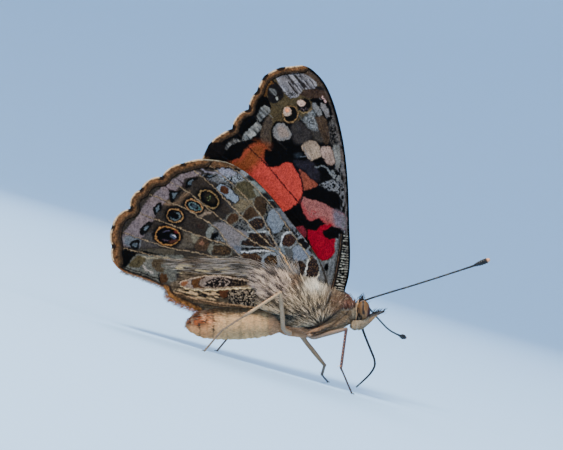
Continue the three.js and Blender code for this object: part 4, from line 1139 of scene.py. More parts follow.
def paint_dusky_cell(c):
    """The dusky cell between the pale spots and the bars."""
    c.patch([(-3.7, 18.2), (-2.4, 18.1), (-1.2, 18), (-0.3, 16.9), (0, 15.9), (-0.3, 15), (-1.1, 15.5),
             (-2.2, 16.7), (-3.1, 17.2)], (40, 34, 48), soft=0.2, mottle=0.4)
    c.stroke([(-0.65, 17.15), (-0.1, 17.3), (0.3, 17.4), (0.8, 17.1)], 0.17, (142, 142, 150))
    c.stroke([(0.8, 17.1), (1.2, 16.7), (1.5, 16.2), (2.1, 16)], 0.22, (138, 138, 146))
    c.speckle([(1.4, 16.5), (2, 16.8), (2.8, 16.4), (3, 15.2), (1.9, 15.4)], (150, 148, 154), 0.5, cell=0.2)
    c.speckle([(-0.1, 14.9), (1, 15.3), (2.2, 15.4), (2.9, 14.6), (2.6, 13.4), (2, 13.6), (1, 14.1),
               (0.3, 14.5)], (150, 148, 156), 0.62, cell=0.16)
    c.speckle([(2.3, 17.2), (3.5, 17.2), (3.7, 12), (3, 11), (2.4, 12.5), (2.6, 15)], (126, 122, 128),
              0.42, cell=0.17, stretch=(1, 2))


def paint_orange_band(c):
    """The orange and coral band."""
    band = [(-12.3, 17.9), (-11.2, 18.4), (-10.6, 19.3), (-9.7, 20.2), (-8.9, 20.5), (-8.1, 20.4),
            (-7.5, 19.9), (-7.9, 19.3), (-7.8, 18.2), (-7, 17.25), (-5.9, 17.3), (-4.9, 17.8),
            (-4.1, 17.7), (-3.4, 16.9), (-2.8, 16), (-2.5, 14.8), (-2.5, 13.5), (-3.1, 12.3), (-3.6, 11.9),
            (-4.4, 11.2), (-5.3, 10.8), (-7, 11.5), (-10, 14.5)]
    c.patch(band, (190, 82, 72), soft=0.1, mottle=0.1)
    c.patch([(-12.5, 17.9), (-11.2, 18.5), (-10.6, 19.4), (-9.7, 20.3), (-8.7, 20.7), (-7.3, 20.4),
             (-7.3, 19.8), (-7.7, 19), (-8.2, 18.1), (-9.4, 16.9), (-11.8, 15.4)], (152, 76, 42), soft=0.8,
            mottle=0.14)
    for dark in ([(-12.6, 18.1), (-11.2, 18.6), (-10.7, 19.5), (-9.7, 20.4), (-8.9, 20.7), (-10, 21),
                  (-12, 20.5), (-13.6, 19)], [(-7.6, 19.8), (-7.8, 18.9), (-7.7, 18.1), (-7, 17.35),
                                              (-5.9, 17.4), (-5, 17.9), (-4.5, 18.4), (-5.5, 20),
                                              (-6.6, 19.6), (-7.1, 19.4)]):
        c.patch(dark, BLACK, soft=0.07)
    c.patch([(-2.9, 16.8), (-2.1, 16.4), (-1.4, 15.6), (-0.3, 14.75), (-1.1, 14.2), (-2.2, 13.95),
             (-2.4, 15)], (160, 86, 68), soft=0.1, mottle=0.2)


def paint_red_cell(c):
    """Black bars and reds of the cell next to the root."""
    bar_one = [(-2.4, 13.3), (-1.9, 13.9), (-0.7, 14.3), (0.2, 14.5), (1, 14), (2.3, 13.6), (2.8, 12.8),
               (3.6, 12), (4.1, 10.2), (3.3, 10.9), (2.2, 11.3), (1, 12), (-0.4, 12.6), (-1.6, 12.9)]
    c.patch(bar_one, BLACK)
    c.patch([(-2.5, 13), (-1.5, 12.7), (-0.2, 12.4), (1, 11.9), (2.1, 11.2), (3.3, 10.7), (4, 9.8),
             (4.1, 8.4), (3.1, 8.6), (2.2, 8.8), (1, 9.2), (0.6, 9.5), (0, 10), (-0.8, 9.8), (-1.4, 9.7),
             (-1.9, 10.2), (-2.4, 11.2), (-2.7, 12)], (170, 118, 118), soft=0.08, mottle=0.16)
    c.patch([(1.9, 11.2), (3.3, 10.6), (3.9, 9.6), (3.8, 8.5), (2.4, 8.8), (1.9, 9.8)], (138, 126, 142),
            soft=0.4)
    c.stroke([(-2.6, 12.3), (-2.2, 11.1), (-1.5, 10), (-0.6, 9.95), (0.2, 9.9), (0.9, 9.4), (1.7, 9.2)],
             0.42, (176, 60, 72), soft=0.25, cover=0.7)
    c.speckle([(-2.4, 12), (-1.9, 10.6), (-0.6, 10.1), (0.6, 10), (1.6, 9.6), (0, 10.9), (-1.4, 11.4)],
              (170, 60, 70), 0.3, cell=0.13)
    c.patch([(-5.2, 10.8), (-4.4, 11.2), (-3.6, 11.9), (-3.1, 12.1), (-2.6, 11.5), (-2.2, 10.6),
             (-1.8, 9.9), (-1.2, 9.7), (-0.7, 9.9), (-0.1, 10.1), (0.3, 9.6), (0.7, 9.3), (0.2, 9),
             (-0.6, 8.3), (-1.4, 8.4), (-2.1, 8.8), (-2.9, 8.7), (-3.8, 8.5), (-4.6, 9.6)], BLACK)
    c.patch([(-3.6, 8.7), (-2.4, 8.9), (-2, 8.3), (-2, 7.4), (-2.8, 7.4)], (140, 40, 58), mottle=0.3)
    c.patch([(-1.9, 8.4), (-1.2, 8.4), (-0.6, 8.3), (0, 8.9), (0.8, 9.2), (1.7, 9.1), (0.8, 8.4),
             (0.5, 7.9), (1.2, 7.2), (2, 7.3), (2.1, 5.6), (1.7, 4.7), (0.6, 4.2), (-0.1, 4.3),
             (-0.7, 4.9), (-1.2, 5.9), (-1.7, 7.2)], (168, 12, 42), mottle=0.1)
    c.patch([(0.3, 8.25), (1.2, 8.5), (2.4, 8.75), (3, 8.4), (3.1, 7.6), (2.4, 7.3), (1.3, 7.1),
             (0.6, 7.6)], BLACK)
    c.patch([(-0.2, 4.2), (0.6, 4.1), (1.7, 4.6), (2.05, 5.6), (2.1, 7.1), (2.55, 7.1), (2.5, 5), (2.1, 3),
             (1.7, 1.2), (1, 0.2), (0.2, 1.2), (0.4, 2.8)], (126, 126, 132), streak=(80, 0.5), mottle=0.2)
    c.patch([(0.7, 3.6), (1.1, 3.75), (1.2, 3.2), (0.9, 2.7), (0.6, 2.8)], BLACK)
    c.oval((0.45, 0.7), (0.42, 0.42), 0, (84, 42, 34), mottle=0.4)


def paint_forewing_veins(c):
    """Dark lines along the veins."""
    c.stroke([(-10.1, 20.1), (-8.1, 18.2), (-6.9, 16.9), (-5, 14.6), (-3.9, 13.3), (-2.8, 12)], 0.17,
             (22, 12, 14))
    c.stroke([(-3.9, 17.8), (-3, 16.3), (-2.5, 14.8), (-2.35, 13.5), (-2.7, 12.2)], 0.18, (22, 14, 20))
    c.stroke([(-1.9, 8.6), (-1.7, 7.2), (-1, 5.4), (0, 3.6), (0.6, 2.4)], 0.18, BLACK)
    c.stroke([(-9.9, 25), (-8.9, 24), (-8.1, 23.1)], 0.14, (30, 22, 20))
    c.stroke([(-11.7, 22.2), (-10.9, 21.3), (-10.3, 20.6)], 0.14, (24, 18, 18))


def paint_costal_strip(c):
    """Short level bars along the front edge, dark lines behind them, black edge."""
    strip = np.nonzero((c.x > 1.2) & (c.z < 7.9) & (c.z > -2.4))[0]
    x, z = c.x[strip], c.z[strip]
    rear = np.interp(z, (-2, 0, 2, 4, 6, 7.6), (1.3, 1.9, 2.45, 2.8, 3.1, 3.25))
    inner = smoothstep(x, rear - 0.72, rear - 0.62)
    c.lay(strip, inner, (24, 20, 21))
    for back, colour in ((0.56, (122, 118, 118)), (0.3, (112, 82, 66))):
        c.lay(strip, inner * fade(np.abs(x - rear + back), 0.02, 0.09), colour, mottle=0.5)
    wave = z + 0.1 * (x - rear) + 0.1 * noise(x * 0.4, z, 0.5, 9)
    bars = np.sin(wave * 2 * math.pi / 0.36) + 0.9 * noise(x, z, 0.22, 12)
    inside = smoothstep(x, rear, rear + 0.1)
    c.lay(strip, inside, BLACK)
    c.lay(strip, inside * smoothstep(bars, 0.25, 0.6), (180, 176, 172), mottle=0.3)
    c.speckle([(2.9, 17.4), (3.6, 17.4), (3.95, 13), (4.1, 8), (3.2, 8), (2.9, 12)], (134, 130, 138), 0.42,
              cell=0.18, stretch=(1, 3))
    costal, _ = distance_to_line(c.x, c.z, spline(FOREWING_FRONT[3:], 6))
    c.band(costal, 0.34, 0.62, (104, 88, 84), cover=0.5, mottle=0.45)
    c.band(costal, -1, 0.3, BLACK)


def paint_forewing_margin(c):
    paint_margin(c, FOREWING_TEETH, 0.95, 0.85)
    c.patch([(-16.2, 18.7), (-15.7, 20.1), (-14.4, 20.7), (-13.3, 20.2), (-13.4, 19), (-14.8, 18.6)],
            (16, 12, 13), soft=0.12)


def paint_forewing_outside(points):
    c = Canvas(points, BLACK, 500)
    for paint in (paint_tip, paint_grey_fields, paint_tip_eyespots, paint_pale_spots,
                  paint_dusky_cell, paint_orange_band, paint_red_cell, paint_forewing_veins,
                  paint_costal_strip, paint_forewing_margin):
        paint(c)
    return c.rgb


def paint_inside(points, spots, dark_marks):
    """The upper side of a wing, which faces its fellow: orange with black marks and spots."""
    c = Canvas(points, (186, 104, 58), 900)
    for outline in dark_marks:
        c.patch(outline, (26, 20, 18), soft=0.3)
    spot_colour, places = spots
    for middle, size in places:
        c.oval(middle, size, 0, spot_colour, soft=0.15)
    return c.rgb


# Wings: pieces

# What the upper sides show: the outlines of their dark marks, and the colour, middles and sizes of spots
UPPER_TIP = [
    [(4, 12), (1.5, 16), (-3, 18), (-7, 20), (-13, 20), (-16.5, 18.6), (-14, 21.5), (-9, 27), (-7, 30.5),
     (-3, 32), (1, 29.5), (3.5, 22)],
    [(3, 9), (-2, 9.5), (-5, 11), (-3, 12.5), (0, 13.5), (3.5, 12.5)],
    [(-4, 8), (-9, 13), (-15, 18), (-12, 13)],
]
UPPER_TIP_SPOTS = ((232, 226, 218), [
    ((-1.2, 19.5), (1.2, 1.1)), ((1.2, 19.2), (0.9, 1.2)), ((-5.3, 22), (1.2, 1.1)),
    ((-4.6, 25), (0.6, 0.6)), ((-2.6, 26.2), (0.6, 0.5)), ((0.2, 25.5), (1.1, 0.7)),
])
UPPER_HIND = [
    [(0, 0), (-6, 1), (-9, 3.5), (-7.5, 8), (-4, 9.5), (0, 5)],
    [(-16.4, 18.4), (-22, 16), (-25.5, 13.5), (-29, 9), (-29, 4), (-27.8, 6), (-27.6, 8.6), (-24, 12.6),
     (-20.5, 15.4)],
]
UPPER_HIND_SPOTS = ((24, 18, 18), [
    ((-15.4, 12.8), (0.8, 0.8)), ((-17.8, 11.6), (0.9, 0.8)), ((-20.2, 10.3), (0.9, 0.8)),
    ((-21.6, 7.6), (1.0, 0.9)),
])


def make_wings():
    scales = painted_material(
        "wing_scales", roughness=0.6, cell=0.11, low=0.62, high=1.38, relief=0.02, stretch=(1, 1, 0.7),
        Specular_IOR_Level=0.03)
    kinds = (
        ("fore", outline_of(FOREWING_FRONT, FOREWING_TEETH, FOREWING_BACK), FOREWING_VEINS, FOREWING_Y,
         paint_forewing_outside, UPPER_TIP_SPOTS, UPPER_TIP),
        ("hind", outline_of(HINDWING_FRONT, HINDWING_TEETH, *HINDWING_BACK), HINDWING_VEINS, HINDWING_Y,
         paint_hindwing_outside, UPPER_HIND_SPOTS, UPPER_HIND),
    )
    for name, side in SIDES:
        for kind, outline, veins, middle, paint, spots, dark_marks in kinds:
            points, triangles, outer = wing_shape(outline, veins, middle, side)
            flat = points[:, [0, 2]]
            colours = [paint(flat[:outer]), paint_inside(flat[outer:], spots, dark_marks)]
            made = mesh_of(f"wing_{kind}_{name}", points, triangles, np.concatenate(colours))
            finish_piece(made, scales, "wing_scales", f"{kind}wing_{name}")


# Round forms


def closed_skin(rings, first, last):
    """Points and triangles of one skin over rings of equal size, with a point at each end."""
    rings = np.asarray(rings)
    count, sides = rings.shape[:2]
    points = np.concatenate([[first], rings.reshape(-1, 3), [last]])
    side = np.arange(sides)
    after = (side + 1) % sides
    triangles = [np.stack([np.zeros(sides, int), 1 + after, 1 + side], 1)]
    for ring in range(count - 1):
        a, b = 1 + ring * sides, 1 + (ring + 1) * sides
        triangles.append(np.stack([a + side, a + after, b + after], 1))
        triangles.append(np.stack([a + side, b + after, b + side], 1))
    a = 1 + (count - 1) * sides
    triangles.append(np.stack([np.full(sides, len(points) - 1), a + side, a + after], 1))
    return points, np.concatenate(triangles)


def loft(rows, depth=0.0, sides=40, steps=6):
    """A body along X from rows of [x, middle height, half height, half width], less a coat's depth."""
    stations = spline(rows, steps)
    angle = np.arange(sides) / sides * 2 * math.pi
    rings = []
    for x, z, high, wide in stations:
        thin = [max(0.08, size - depth) for size in (high, wide)]
        rings.append(np.stack([np.full(sides, x), -thin[1] * np.sin(angle), z + thin[0] * np.cos(angle)],
                              1))
    first, last = stations[0], stations[-1]
    return closed_skin(rings, (first[0] - 0.05, 0, first[1]), (last[0] + 0.05, 0, last[1]))


def tube(rows, sides=12, steps=6, flatten=1.0, shape=None):
    """A round limb through rows of [x, y, z, radius], and how far along it each point is, in mm."""
    stations = spline(rows, steps)
    centres, radii = stations[:, :3], stations[:, 3].copy()
    along = np.concatenate([[0], np.cumsum(np.linalg.norm(np.diff(centres, axis=0), axis=1))])
    if shape is not None:
        radii = radii * shape(along)
    heading = np.gradient(centres, axis=0)
    heading /= np.linalg.norm(heading, axis=1)[:, None]
    across = np.cross((0, 1, 0), heading[0])
    if np.linalg.norm(across) < 1e-3:
        across = np.array((1.0, 0, 0))
    angle = np.arange(sides) / sides * 2 * math.pi
    rings = []
    for centre, direction, radius in zip(centres, heading, radii):
        across = across - direction * (across @ direction)
        across /= np.linalg.norm(across)
        third = np.cross(direction, across)
        rings.append(centre + radius * (np.cos(angle)[:, None] * across
                                        + flatten * np.sin(angle)[:, None] * third))
    points, triangles = closed_skin(rings, centres[0] - heading[0] * radii[0] * 0.4,
                                    centres[-1] + heading[-1] * radii[-1] * 0.4)
    places = np.concatenate([[0], np.repeat(along, sides), [along[-1]]])
    return points, triangles, places


def ball(middle, size, columns=48, rows=32):
    angle = np.arange(columns) / columns * 2 * math.pi
    rings = []
    for row in range(1, rows):
        polar = row / rows * math.pi
        rings.append(np.stack([
            middle[0] + size[0] * math.sin(polar) * np.cos(angle),
            middle[1] + size[1] * math.sin(polar) * np.sin(angle),
            np.full(columns, middle[2] - size[2] * math.cos(polar)),
        ], 1))
    return closed_skin(rings, (middle[0], middle[1], middle[2] - size[2]), (middle[0], middle[1],
                                                                            middle[2] + size[2]))


def together(*parts):
    """Several lots of points and triangles as one."""
    points, triangles, count = [], [], 0
    for part in parts:
        points.append(part[0])
        triangles.append(np.asarray(part[1]) + count)
        count += len(part[0])
    return np.concatenate(points), np.concatenate(triangles)


# Body

# x, middle height, half height, half width
THORAX = [
    (-6.0, -4.3, 1.5, 1.3), (-5.0, -4.1, 2.4, 2.1), (-3.5, -3.7, 3.1, 2.6), (-1.5, -3.4, 3.5, 2.8),
    (0.5, -3.25, 3.5, 2.7), (2.2, -3.05, 3.05, 2.35), (3.6, -2.95, 2.4, 1.9), (4.5, -3.1, 1.65, 1.3),
]
ABDOMEN = [
    (-18.4, -5.25, 0.45, 0.4), (-17.7, -5.1, 1.1, 1.0), (-16.2, -4.9, 1.9, 1.75), (-14.0, -4.75, 2.25, 2.1),
    (-11.5, -4.6, 2.4, 2.2), (-9.0, -4.45, 2.35, 2.2), (-7.0, -4.3, 2.15, 2.0), (-4.6, -4.15, 1.6, 1.5),
]
ABDOMEN_RING = 1.9
RING_DEPTH = 0.05  # how far the skin sinks in at each ring, as a share of its size
NECK = {"middle": (4.7, 0, -3.1), "size": (1.2, 0.8, 1.1)}
HEAD = {"middle": (5.75, 0, -2.95), "size": (1.35, 0.85, 1.5)}
EYE = {"x": 6.05, "y": 0.95, "z": -2.75, "size": (0.92, 0.85, 1.35)}
PALP = [
    (4.6, 0.8, -4.9, 0.78), (5.4, 0.82, -4.9, 0.82), (6.3, 0.8, -4.45, 0.7), (7.2, 0.7, -3.75, 0.56),
    (8.0, 0.56, -3.3, 0.4), (9.1, 0.42, -3.0, 0.14),
]
FORELEG = [
    (3.8, 1.65, -4.0, 0.48), (2.2, 2.5, -4.7, 0.48), (0.4, 2.75, -5.3, 0.42), (-1.7, 2.5, -5.95, 0.24),
]
# How deep the skin lies under the measures above, to leave room for hair
COAT = 0.35
ABDOMEN_COAT = 0.15
ABDOMEN_INSET = 0.03
HEAD_COAT = 0.12
LIMB_COAT = 0.14

SKIN_VOXEL = 0.13
SKIN_SHADE = 0.8  # painted shade: how much darker the skin under the coat is painted than the coat


def mirrored(rows, side):
    return [(x, side * y, z, *rest) for x, y, z, *rest in rows]


def evaluated(obj):
    """The object's mesh with its modifiers applied, in place of the old one."""
    bpy.context.view_layer.update()
    graph = bpy.context.evaluated_depsgraph_get()
    mesh = bpy.data.meshes.new_from_object(obj.evaluated_get(graph))
    obj.modifiers.clear()
    obj.data = mesh
    return obj


def in_own_frame(points, moved=True):
    """The inverse of placed(), or of its turn alone."""
    p = np.asarray(points, float) / MM - SHIFT if moved else np.asarray(points, float)
    x = p[..., 0] * math.cos(NOSE_UP) + p[..., 2] * math.sin(NOSE_UP)
    z = -p[..., 0] * math.sin(NOSE_UP) + p[..., 2] * math.cos(NOSE_UP)
    return np.stack([x, p[..., 1], z], -1)


def ring_wave(x):
    """1 at the middle of every ring of the abdomen and -1 between two."""
    return np.cos((x - ABDOMEN[0][0]) / ABDOMEN_RING * 2 * math.pi)


def body_colours(p):
    """Colour of the skin and its coat at points in the insect's frame."""
    x, y, z = p.T
    rgb = plain((120, 98, 76), len(p))
    grain = noise(x, z + 0.7 * y, 0.5, 41)
    belly = -z - np.interp(x, [-6, -4.4, -3, -1], [3.5, 4.4, 5.1, 5.0])
    behind = fade(x, -7.4, -6.2)
    rear = fade(x, -16.0, -14.6)
    ring = smoothstep(ring_wave(x) + 0.25 * grain, 0.78, 0.97)
    ahead = smoothstep(x, 4.3, 4.7)
    from_strip = x - 5.17 - 0.1 * (z + 2.8)
    tall = smoothstep(z, -4.1, -3.9) * fade(z, -1.8, -1.6)
    jaw = np.abs(z + 4.12 - 0.25 * np.maximum(x - 5.6, 0))
    over_palp = z - np.interp(x, [4.8, 6.4, 7.2, 8.2, 9.1], [-4.3, -3.95, -3.4, -3.05, -2.9])
    palp = ahead * smoothstep(x, 6.4, 7.0)
    for cover, colour in (
        # thorax: cream-grey flanks, browner shoulders, a darker middle low down that is painted shade, tan
        # belly, reddish collar
        (smoothstep(x, -7.6, -4.6), (150, 132, 112)),
        (smoothstep(x, -2, 2) * smoothstep(z, -2.6, -1.2), (112, 88, 62)),
        (0.7 * hump(x, z, (-1.5, -4.6), (2.2, 1.0)), (64, 52, 42)),
        (0.9 * smoothstep(belly, 0, 0.6) * smoothstep(x, -8, -7), (204, 182, 150)),
        (smoothstep(x, 2.6, 3.6) * smoothstep(z, -2.4, -1.4), (112, 58, 44)),
        # abdomen: tan, orange-brown along its back and rear, faint lines between its rings
        (behind, (212, 196, 166)),
        (behind * 0.8 * smoothstep(z + 0.3 * grain, -3.9, -3.1), (150, 118, 76)),
        (behind * smoothstep(-x, 13.0, 16), (214, 190, 152)),
        (behind * rear * smoothstep(z + 0.5 * grain, -5.2, -4.2), (170, 130, 84)),
        (behind * ring * (0.4 + 0.5 * smoothstep(-x, 12.6, 14.6)), (70, 52, 38)),
        # head: tan cheeks, dark crown, a pale strip behind the eye, black lines beside it and on the jaw
        (ahead, (184, 168, 148)),
        (ahead * smoothstep(z + 0.2 * grain, -2.3, -1.8), (60, 42, 34)),
        (ahead * tall * fade(np.abs(from_strip), 0.06, 0.14), (240, 230, 214)),
        (ahead * tall * fade(np.abs(from_strip - 0.2), 0.06, 0.12), (14, 10, 9)),
        (ahead * smoothstep(x, 4.6, 4.8) * fade(x, 6.2, 6.5) * fade(jaw, 0.06, 0.13), (20, 14, 12)),
        # palps: grey above, a pale lower edge, black top and tip
        (palp, (120, 116, 112)),
        (palp * fade(over_palp, -0.5, -0.3), (190, 168, 132)),
        (palp * smoothstep(over_palp, -0.2, -0.02), (30, 23, 22)),
        (ahead * smoothstep(x, 8.3, 8.8), (24, 18, 17)),
        # folded front legs: tan
        (0.7 * (smoothstep(np.abs(y), 2.1, 2.4) * smoothstep(x, -2, -1.4) * fade(z, -4.4, -4.1)),
         (172, 148, 118)),
    ):
        tint(rgb, cover, colour)
    return rgb * (1 + 0.18 * grain)[:, None]


def thinner(rows, coat, least):
    """A limb's rows with their radii less a coat's depth."""
    return [(x, y, z, max(least, radius - coat)) for x, y, z, radius in rows]


def make_body():
    """One skin over thorax, abdomen, head, palps and folded front legs."""
    rings = []
    for x, z, high, wide in spline(ABDOMEN, 6):
        share = 1 - RING_DEPTH * ring_wave(x) ** 6
        rings.append((x, z, (high - ABDOMEN_INSET) * share, (wide - ABDOMEN_INSET) * share))
    parts = [
        loft(THORAX, COAT), loft(rings, ABDOMEN_COAT, steps=1),
        ball(HEAD["middle"], [size - HEAD_COAT for size in HEAD["size"]]), ball(**NECK),
    ]
    for _, side in SIDES:
        palp = thinner(mirrored(PALP, side), LIMB_COAT, 0.06)
        leg = thinner(mirrored(FORELEG, side), LIMB_COAT, 0.1)
        parts += [tube(palp, flatten=0.72)[:2], tube(leg)[:2]]
    skin = mesh_of("body_skin", *together(*parts))
    remesh = skin.modifiers.new("remesh", "REMESH")
    remesh.mode = "VOXEL"
    remesh.voxel_size = SKIN_VOXEL * MM
    smooth = skin.modifiers.new("smooth", "SMOOTH")
    smooth.factor, smooth.iterations = 0.5, 6
    mesh = evaluated(skin).data
    mesh.polygons.foreach_set("use_smooth", np.ones(len(mesh.polygons), bool))
    # the skin is the coat's colours darkened by SKIN_SHADE, painted shade under the hair
    set_pattern(mesh, body_colours(in_own_frame(read(mesh.vertices, "co"))) * SKIN_SHADE)
    material = painted_material(
        "body_skin", roughness=0.75, cell=0.09, low=0.7, high=1.2, relief=0.03, Specular_IOR_Level=0.2)
    return finish_piece(skin, material, "body_fur", "thorax", "abdomen", "head", "palp_right", "palp_left",
                        "foreleg_right", "foreleg_left")


# Coat: every tuft is a closed, tapered blade of three sides

TUFT_PATCH = 0.0015  # half the width of a tuft's patch on the unwrap
UNWRAP_MARGIN = 0.01
# The first seed and the number of tufts of each coat
COAT_SEEDS = {"breast": 11, "wing": 21, "edge": 61, "back": 31, "abdomen": 32, "head": 33}
TUFTS = {"breast": 15000, "wing": 1100, "edge": 420, "back": 15000, "abdomen": 17000, "head": 11000}
DARKEST = 0.004  # least light that any hair sends back
TUFT_FACES = np.array([
    (0, 2, 1), (0, 1, 4), (0, 4, 3), (1, 2, 5), (1, 5, 4), (2, 0, 3), (2, 3, 5), (3, 4, 6), (4, 5, 6),
    (5, 3, 6),
])
TUFT_UV = np.array([(-1, -1), (0, -1), (1, -1), (-1, 0), (0, 0), (1, 0), (0, 1)], float) * TUFT_PATCH


def unit(v):
    return v / np.maximum(np.linalg.norm(v, axis=-1, keepdims=True), 1e-9)


def make_coat(name, material, path, normal, width, shaded_root_rgb, tip_rgb, unwrap):
    """One piece of coat: tufts along a path of root, middle and tip, with colours at both ends, the root's
    colour darker as painted shade deep in the coat.
    """
    root, middle, tip = path
    count = len(root)
    shaded_root_rgb, tip_rgb = (
        c * (LIGHTEST / np.maximum(c.max(1), LIGHTEST))[:, None] for c in (shaded_root_rgb, tip_rgb))
    across = unit(np.cross(tip - root, normal))
    blades = np.empty((count, 7, 3))
    for first, centre, share in ((0, root, 0.8), (3, middle, 1.0)):
        half = across * (width * share / 2)[:, None]
        blades[:, first] = centre - half
        blades[:, first + 1] = centre + normal * (width * share * 0.5)[:, None]
        blades[:, first + 2] = centre + half
    blades[:, 6] = tip
    faces = (np.arange(count) * 7)[:, None, None] + TUFT_FACES[None]
    rgb = np.empty((count, 7, 3))
    rgb[:, :3] = shaded_root_rgb[:, None]
    rgb[:, 3:6] = (0.35 * shaded_root_rgb + 0.65 * tip_rgb)[:, None]
    rgb[:, 6] = tip_rgb
    low, high = unwrap.min(0), unwrap.max(0)
    at = UNWRAP_MARGIN + (1 - 2 * UNWRAP_MARGIN) * (unwrap - low) / (high - low)
    uv = at[:, None, :] + TUFT_UV[None]
    piece = mesh_of(name, blades.reshape(-1, 3), faces.reshape(-1, 3), rgb.reshape(-1, 3),
                    uv.reshape(-1, 2))
    return finish_piece(piece, material, "body_fur")


def body_at(x):
    """Middle height, half height and half width of the skin at x."""
    rows = np.array([(at, middle, high - COAT, wide - COAT) for at, middle, high, wide in THORAX])
    return [np.interp(x, rows[:, 0], rows[:, k]) for k in (1, 2, 3)]


def flank(x, z, hindwing, forewing):
    """How far the outermost surface stands from the plane of symmetry, seen from the side."""
    middle, high, wide = body_at(x)
    reach = 1 - ((z - middle) / np.maximum(high, 0.01)) ** 2
    on_body = (reach > 0) & (x > THORAX[0][0]) & (x < THORAX[-1][0])
    y = np.where(on_body, wide * np.sqrt(np.maximum(reach, 0)), 0)
    for outline, middle_y in ((hindwing, HINDWING_Y), (forewing, FOREWING_Y)):
        on_wing = is_inside(x, z, outline)
        y = np.where(on_wing, np.maximum(y, middle_y + spread(x, z) + WING_THICKNESS / 2), y)
    return y


# Where the hair of the breast meets the smooth strip over the folded front leg
HAIRLINE = [
    (-7.2, -3.1), (-5.4, -3.8), (-4.2, -4.7), (-3.3, -5.2), (-0.8, -5.1), (0, -4.8), (1, -4.2), (2, -3.4),
    (2.8, -2.6), (3.4, -1.7), (3.9, -0.9),
]
# Where that hair stops at its top
HAIR_TOP = [
    (-8.5, 2.4), (-6, 1.9), (-3.2, 1.0), (-2.4, 0.7), (-0.6, 0.1), (0.4, -0.6), (1.4, -0.9), (2.4, -1.1),
    (3.4, -1.1), (4, -1.2),
]
FAN = (0.2, -5.4)  # the hair of the breast fans out from here


def lie(x, z):
    """The way the hair lies on the flank and on the base of the hindwing, as an angle."""
    fan = np.arctan2(z - FAN[1], x - FAN[0])
    on_wing = math.pi * (1 - 0.20 * smoothstep(x, -11, -6))
    share = smoothstep(-x, 4.5, 8)
    return fan * (1 - share) + on_wing * share


def flank_colours(x, z, seed):
    """Colours at the tips and roots of the breast's hair, the roots darker as painted shade deep in the
    coat.
    """
    radius = np.hypot(x - FAN[0], z - FAN[1])
    turn = np.arctan2(z - FAN[1], x - FAN[0]) * 8
    streak = noise(turn, radius * 0.22, 0.2, seed) + 0.6 * noise(turn, radius * 0.4, 0.09, seed + 1)
    # painted shade: darker low in the middle of the breast
    low_breast_shade = hump(x, z, (-2.6, -3.9), (2.8, 1.1))
    calm = 0.5 * hump(x, z, (-0.5, -0.4), (1.6, 1.1)) + 0.5 * smoothstep(x, 0.3, 1.6)
    dark = smoothstep(streak + 0.12 * low_breast_shade, 0.02, 0.3) * (1 - calm)
    pale = smoothstep(-streak, 0.2, 0.5) * (1 - calm)
    tips = plain((184, 170, 152), len(x))
    for cover, colour in (
        (smoothstep(x, -0.3, 1.4) * smoothstep(-z, 0.3, 1.2), (144, 118, 86)),
        (smoothstep(x, 1.8, 3) * smoothstep(-z, 0.6, 1.6), (146, 118, 86)),
        (smoothstep(x, 2.7, 3.4) * smoothstep(z, -1.9, -1.2), (128, 66, 50)),
        (smoothstep(-x, 2.4, 4.4) * smoothstep(z, -2.6, -1.0), (192, 184, 172)),
        (hump(x, z, (-0.5, -0.4), (1.5, 1.0)), (240, 238, 234)),
        (0.75 * hump(x, z, (-2.8, 0.3), (0.7, 1.5)), (170, 134, 98)),
        (0.85 * low_breast_shade, (88, 76, 60)),
    ):
        tint(tips, cover, colour)
    tips *= (1 + 0.3 * streak)[:, None]
    tint(tips, 0.92 * dark, (28, 21, 18))
    tint(tips, 0.5 * pale, (216, 210, 198))
    # roots: the tips darkened, painted shade deep in the coat
    return np.clip(tips, DARKEST, 1), np.clip(0.3 * tips, 0.003, 1)


def outward(side, count):
    return np.tile([0.0, side, 0.0], (count, 1))


def each_side(kind):
    """The name and way of each side, with the seeded numbers that its coat is drawn from, and its seed."""
    for seed, (name, side) in enumerate(SIDES, COAT_SEEDS[kind]):
        yield name, side, np.random.default_rng(seed), seed


def over_hindwing(x, z, side, lift, outer=1.0):
    """Points at a height over the hindwing's outer face, or over its inner face with outer -1."""
    y = HINDWING_Y + spread(x, z) + WING_THICKNESS / 2 * outer
    return np.stack([x, side * (y + lift), z], 1)


def make_breast_coats(fur, hindwing, forewing):
    """Long hair on the flanks and over the bases of the wings."""
    count = TUFTS["breast"]
    for name, side, rng, seed in each_side("breast"):
        x = rng.uniform(-8.5, 3.9, count * 3)
        z = rng.uniform(-6.9, 2.6, count * 3)
        keep = (z > height_on(HAIRLINE, x)) & (z < height_on(HAIR_TOP, x))
        keep &= (flank(x, z, hindwing, forewing) > 0.35) & ((x > -7.6) | (z > -0.3 * (x + 8.5)))
        x, z = x[keep][:count], z[keep][:count]
        n = len(x)
        shorter = 0.45 * smoothstep(x, 0.5, 3.2) + 0.35 * smoothstep(-z, 4.6, 5.6)
        long = rng.uniform(1.1, 2.1, n) * (1 - shorter)
        angle = lie(x, z) + rng.normal(0, 0.07, n) + 0.2 * noise(x, z, 0.9, seed + 20)
        steps = [np.stack([x, z], 1)]
        for bend in (0.0, 0.1):
            turned = angle + bend * np.sign(rng.normal(0, 1, n))
            steps.append(steps[-1] + np.stack([np.cos(turned), np.sin(turned)], 1) * (long / 2)[:, None])
        path, high = [], 0
        for step, lift in zip(steps, (-0.08, rng.uniform(0.12, 0.34, n), rng.uniform(0.1, 0.55, n))):
            y = flank(*step.T, hindwing, forewing)
            high = np.maximum(np.where(y > 0, y, high), high * 0.8)
            path.append(np.stack([step[:, 0], side * (high + lift), step[:, 1]], 1))
        tips, roots = flank_colours(x, z, 31)
        shade = rng.choice([0.55, 0.85, 1.1, 1.45], n)[:, None]
        unwrap = np.stack([x, np.arctan2(path[0][:, 1], -(z + 3.4))], 1)
        make_coat(f"coat_breast_{name}", fur, path, outward(side, n), rng.uniform(0.045, 0.08, n),
                  roots * shade, tips * shade, unwrap)


